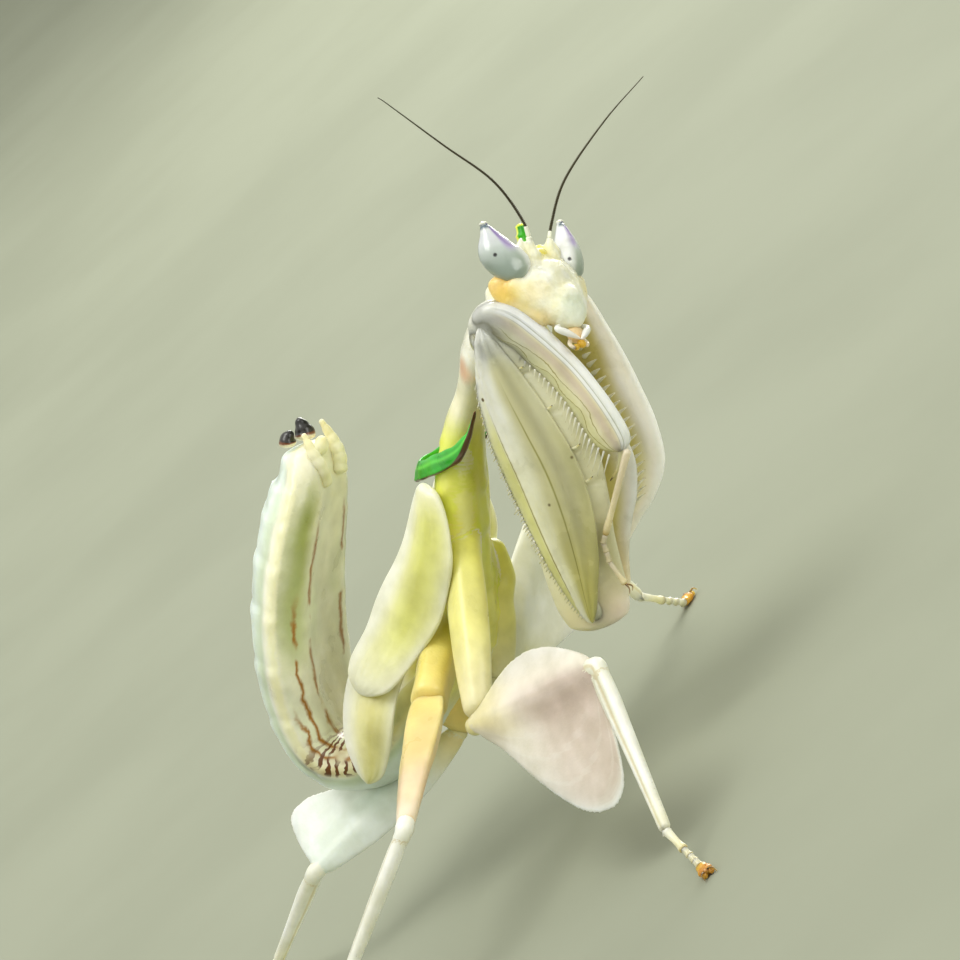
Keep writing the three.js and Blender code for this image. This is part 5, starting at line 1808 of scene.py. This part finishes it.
def camera_axes():
    """Where the camera looks, with its right, up and backward directions."""
    across, rise, roll = (math.radians(a) for a in (CAMERA_AZIMUTH, CAMERA_RISE, CAMERA_ROLL))
    away = np.array([math.sin(across) * math.cos(rise), -math.cos(across) * math.cos(rise), math.sin(rise)])
    level = np.array([math.cos(across), math.sin(across), 0.0])
    upright = np.cross(away, level)
    right = level * math.cos(roll) - upright * math.sin(roll)
    up = upright * math.cos(roll) + level * math.sin(roll)
    return Axes(trunk(*CAMERA_TARGET) * MM, right, up, away)


def camera_piece(view, lens):
    data = bpy.data.cameras.new("studio_camera")
    data.lens, data.sensor_width = lens, SENSOR
    data.clip_start, data.clip_end = 0.01, 10.0
    camera = bpy.data.objects.new("studio_camera", data)
    turn = Matrix(view.ways.tolist()).transposed().to_4x4()
    camera.matrix_world = Matrix.Translation(Vector(view.at(0, 0, FRAME_WIDTH * lens / SENSOR))) @ turn
    bpy.context.scene.collection.objects.link(camera)
    bpy.context.scene.camera = camera


def light(name, place, target, size, power, colour):
    data = bpy.data.lights.new(name, "AREA")
    data.shape, data.size, data.energy, data.color = "DISK", size, power, colour
    lamp = bpy.data.objects.new(name, data)
    turn = Vector(np.asarray(place) - np.asarray(target)).to_track_quat("Z", "Y")
    lamp.matrix_world = Matrix.Translation(Vector(place)) @ turn.to_matrix().to_4x4()
    lamp.visible_camera = False
    bpy.context.scene.collection.objects.link(lamp)


def studio_lights(view):
    """Soft lights round the mantis, and a pale air."""
    for name, place, distance, size, power, colour in LAMPS:
        light(name, view.at(*(distance * np.array(place))), view.origin, size, power, colour)
    light("overhead", np.array([0.0, 0.0, 0.55]), view.origin, 0.4, 0.4, (1.0, 1.0, 1.0))
    world = bpy.data.worlds.new("studio_air")
    world.use_nodes = True
    air = world.node_tree.nodes["Background"]
    air.inputs["Color"].default_value = (0.96, 0.96, 0.89, 1.0)
    air.inputs["Strength"].default_value = 1.08
    bpy.context.scene.world = world
    bpy.context.scene.view_settings.view_transform = "Standard"


# --- properties, operators and panel


def colour_property(name, description, default):
    return bpy.props.FloatVectorProperty(
        name=name, description=description, default=rgb(default), size=4, min=0.0, max=1.0, subtype="COLOR")


def length_property(name, description, millimetres):
    return bpy.props.FloatProperty(
        name=name, description=description, default=millimetres * MM, unit="LENGTH", precision=6)


class MantisColours(bpy.types.PropertyGroup):
    """Colours of the finishes."""

    ivory: colour_property("Ivory", "Prothorax and the tops of the limbs", (249, 248, 234))
    lime: colour_property("Lime", "Front of the trunk behind the prothorax", (240, 244, 96))
    # bluish white: a painted skylight sheen on the white underside of the abdomen, and painted highlights on
    # the lower face
    belly: colour_property("Bluish White", "Underside of the abdomen and lower face", (232, 244, 236))
    # olive: painted shade in the groove above the side ridge of the abdomen
    olive: colour_property("Olive", "Hollow above the side ridge of the abdomen", (160, 172, 78))
    line_brown: colour_property("Line Brown", "Wavy lines on the abdomen", (168, 112, 10))
    rose: colour_property("Rose", "Blots on the sides of the prothorax", (246, 196, 162))
    leaf: colour_property("Leaf Green", "Light clouds on the collar flange", (46, 186, 34))
    cheek: colour_property("Cheek Orange", "Glow on the cheeks", (240, 186, 44))
    lilac: colour_property("Lilac", "Band down the front of the eyes", (186, 170, 216))
    amber: colour_property("Amber", "Mouth and soles", (236, 176, 56))


class MantisSizes(bpy.types.PropertyGroup):
    """Sizes that can be varied without touching the solid frame."""

    trunk_grain: length_property("Trunk Grain", "Finest detail kept on the trunk", 0.1)
    head_grain: length_property("Head Grain", "Finest detail kept on the head", 0.05)
    feeler_root: length_property("Feeler Root", "Radius of a feeler at its root", 0.075)
    feeler_tip: length_property("Feeler Tip", "Radius of a feeler at its tip", 0.022)
    lens: bpy.props.FloatProperty(
        name="Lens", description="Focal length of the camera", default=216.0, unit="CAMERA")


class MANTIS_OT_trunk(bpy.types.Operator):
    """Builds the trunk and hips as one skin"""

    bl_idname = "mantis.trunk"
    bl_label = "Trunk"

    def execute(self, context):
        colours, sizes = context.scene.mantis_colours, context.scene.mantis_sizes
        mesh = fused(trunk_skin(), "trunk_skin", sizes.trunk_grain / MM, 6)
        nodes = ["pronotum", "mesothorax", "metathorax"]
        nodes += [f"abdomen_{part}" for part in ("base", "bend", "middle", "end")]
        nodes += [f"{leg}_coxa" for leg in WALKING]
        finish_piece(mesh, trunk_finish(colours), "ivory", *nodes)
        return {"FINISHED"}


class MANTIS_OT_collar(bpy.types.Operator):
    """Builds the green flange behind the prothorax"""

    bl_idname = "mantis.collar"
    bl_label = "Collar"

    def execute(self, context):
        finish = collar_finish(context.scene.mantis_colours)
        finish_piece(collar_skin().mesh("collar_skin"), finish, "leaf_green", "collar")
        return {"FINISHED"}


class MANTIS_OT_tail(bpy.types.Operator):
    """Builds the black tip and the cerci at the end of the abdomen"""

    bl_idname = "mantis.tail"
    bl_label = "Tail Tip and Cerci"

    def execute(self, context):
        tail_tip_piece()
        cercus_pieces()
        return {"FINISHED"}


class MANTIS_OT_wing_pads(bpy.types.Operator):
    """Builds the four pads of the growing wings"""

    bl_idname = "mantis.wing_pads"
    bl_label = "Wing Pads"

    def execute(self, context):
        wing_pad_pieces()
        return {"FINISHED"}


class MANTIS_OT_head(bpy.types.Operator):
    """Builds the head as one skin"""

    bl_idname = "mantis.head"
    bl_label = "Head"

    def execute(self, context):
        colours, sizes = context.scene.mantis_colours, context.scene.mantis_sizes
        mesh = fused(head_skin(), "head_skin", sizes.head_grain / MM, 6)
        finish_piece(mesh, head_finish(colours), "ivory", "head")
        return {"FINISHED"}


class MANTIS_OT_eyes(bpy.types.Operator):
    """Builds the two pointed eyes"""

    bl_idname = "mantis.eyes"
    bl_label = "Eyes"

    def execute(self, context):
        eye_pieces(context.scene.mantis_colours)
        return {"FINISHED"}


class MANTIS_OT_horn(bpy.types.Operator):
    """Builds the green horn on the crown"""

    bl_idname = "mantis.horn"
    bl_label = "Horn"

    def execute(self, context):
        horn_piece()
        return {"FINISHED"}


class MANTIS_OT_feelers(bpy.types.Operator):
    """Builds the two feelers from beads along a line"""

    bl_idname = "mantis.feelers"
    bl_label = "Feelers"

    def execute(self, context):
        feeler_pieces(context.scene.mantis_sizes)
        return {"FINISHED"}


class MANTIS_OT_mouth(bpy.types.Operator):
    """Builds the mouth and its palps"""

    bl_idname = "mantis.mouth"
    bl_label = "Mouth"

    def execute(self, context):
        mouth_piece(context.scene.mantis_colours)
        return {"FINISHED"}


class MANTIS_OT_forelegs(bpy.types.Operator):
    """Builds the grasping legs with their combs of spines"""

    bl_idname = "mantis.forelegs"
    bl_label = "Forelegs"

    def execute(self, context):
        for side in SIDES:
            finish = foreleg_finish(context.scene.mantis_colours, side)
            mesh = Foreleg(side, finish).build().mesh(f"foreleg_{side}")
            nodes = [f"fore_{part}_{side}" for part in ("coxa", "femur", "tibia", "tarsus")]
            finish_piece(mesh, finish, "petal_white", *nodes)
        return {"FINISHED"}


class MANTIS_OT_walking_legs(bpy.types.Operator):
    """Builds the four walking legs with their petal lobes"""

    bl_idname = "mantis.walking_legs"
    bl_label = "Walking Legs"

    def execute(self, context):
        for leg in WALKING:
            finish = walking_finish(context.scene.mantis_colours, leg)
            mesh = walking_leg_skin(leg, finish).mesh(f"leg_{leg}")
            nodes = [f"{leg}_{part}" for part in ("femur", "tibia", "tarsus")]
            finish_piece(mesh, finish, "petal_white", *nodes)
        return {"FINISHED"}


class MANTIS_OT_stage(bpy.types.Operator):
    """Builds the floor, the lights and the camera"""

    bl_idname = "mantis.stage"
    bl_label = "Stage"

    def execute(self, context):
        floor_piece()
        view = camera_axes()
        camera_piece(view, context.scene.mantis_sizes.lens)
        studio_lights(view)
        return {"FINISHED"}


OPERATORS = (
    MANTIS_OT_trunk,
    MANTIS_OT_collar,
    MANTIS_OT_tail,
    MANTIS_OT_wing_pads,
    MANTIS_OT_head,
    MANTIS_OT_eyes,
    MANTIS_OT_horn,
    MANTIS_OT_feelers,
    MANTIS_OT_mouth,
    MANTIS_OT_forelegs,
    MANTIS_OT_walking_legs,
    MANTIS_OT_stage,
)


class MANTIS_PT_maker(bpy.types.Panel):
    """Lists the pieces, sizes and colours of the mantis"""

    bl_idname = "MANTIS_PT_maker"
    bl_label = "Orchid Mantis"
    bl_space_type = "VIEW_3D"
    bl_region_type = "UI"
    bl_category = "Mantis"

    def draw(self, context):
        for operator in OPERATORS:
            self.layout.operator(operator.bl_idname)
        for group in (context.scene.mantis_sizes, context.scene.mantis_colours):
            column = self.layout.column()
            for name in group.bl_rna.properties.keys():
                if name not in ("rna_type", "name"):
                    column.prop(group, name)


CLASSES = (MantisColours, MantisSizes, *OPERATORS, MANTIS_PT_maker)


def register():
    for cls in CLASSES:
        bpy.utils.register_class(cls)
    bpy.types.Scene.mantis_colours = bpy.props.PointerProperty(type=MantisColours)
    bpy.types.Scene.mantis_sizes = bpy.props.PointerProperty(type=MantisSizes)


def unregister():
    del bpy.types.Scene.mantis_colours
    del bpy.types.Scene.mantis_sizes
    for cls in reversed(CLASSES):
        bpy.utils.unregister_class(cls)


def main():
    register()
    for operator in OPERATORS:
        group, name = operator.bl_idname.split(".")
        getattr(getattr(bpy.ops, group), name)()
    bpy.context.view_layer.update()


if __name__ == "__main__":
    main()
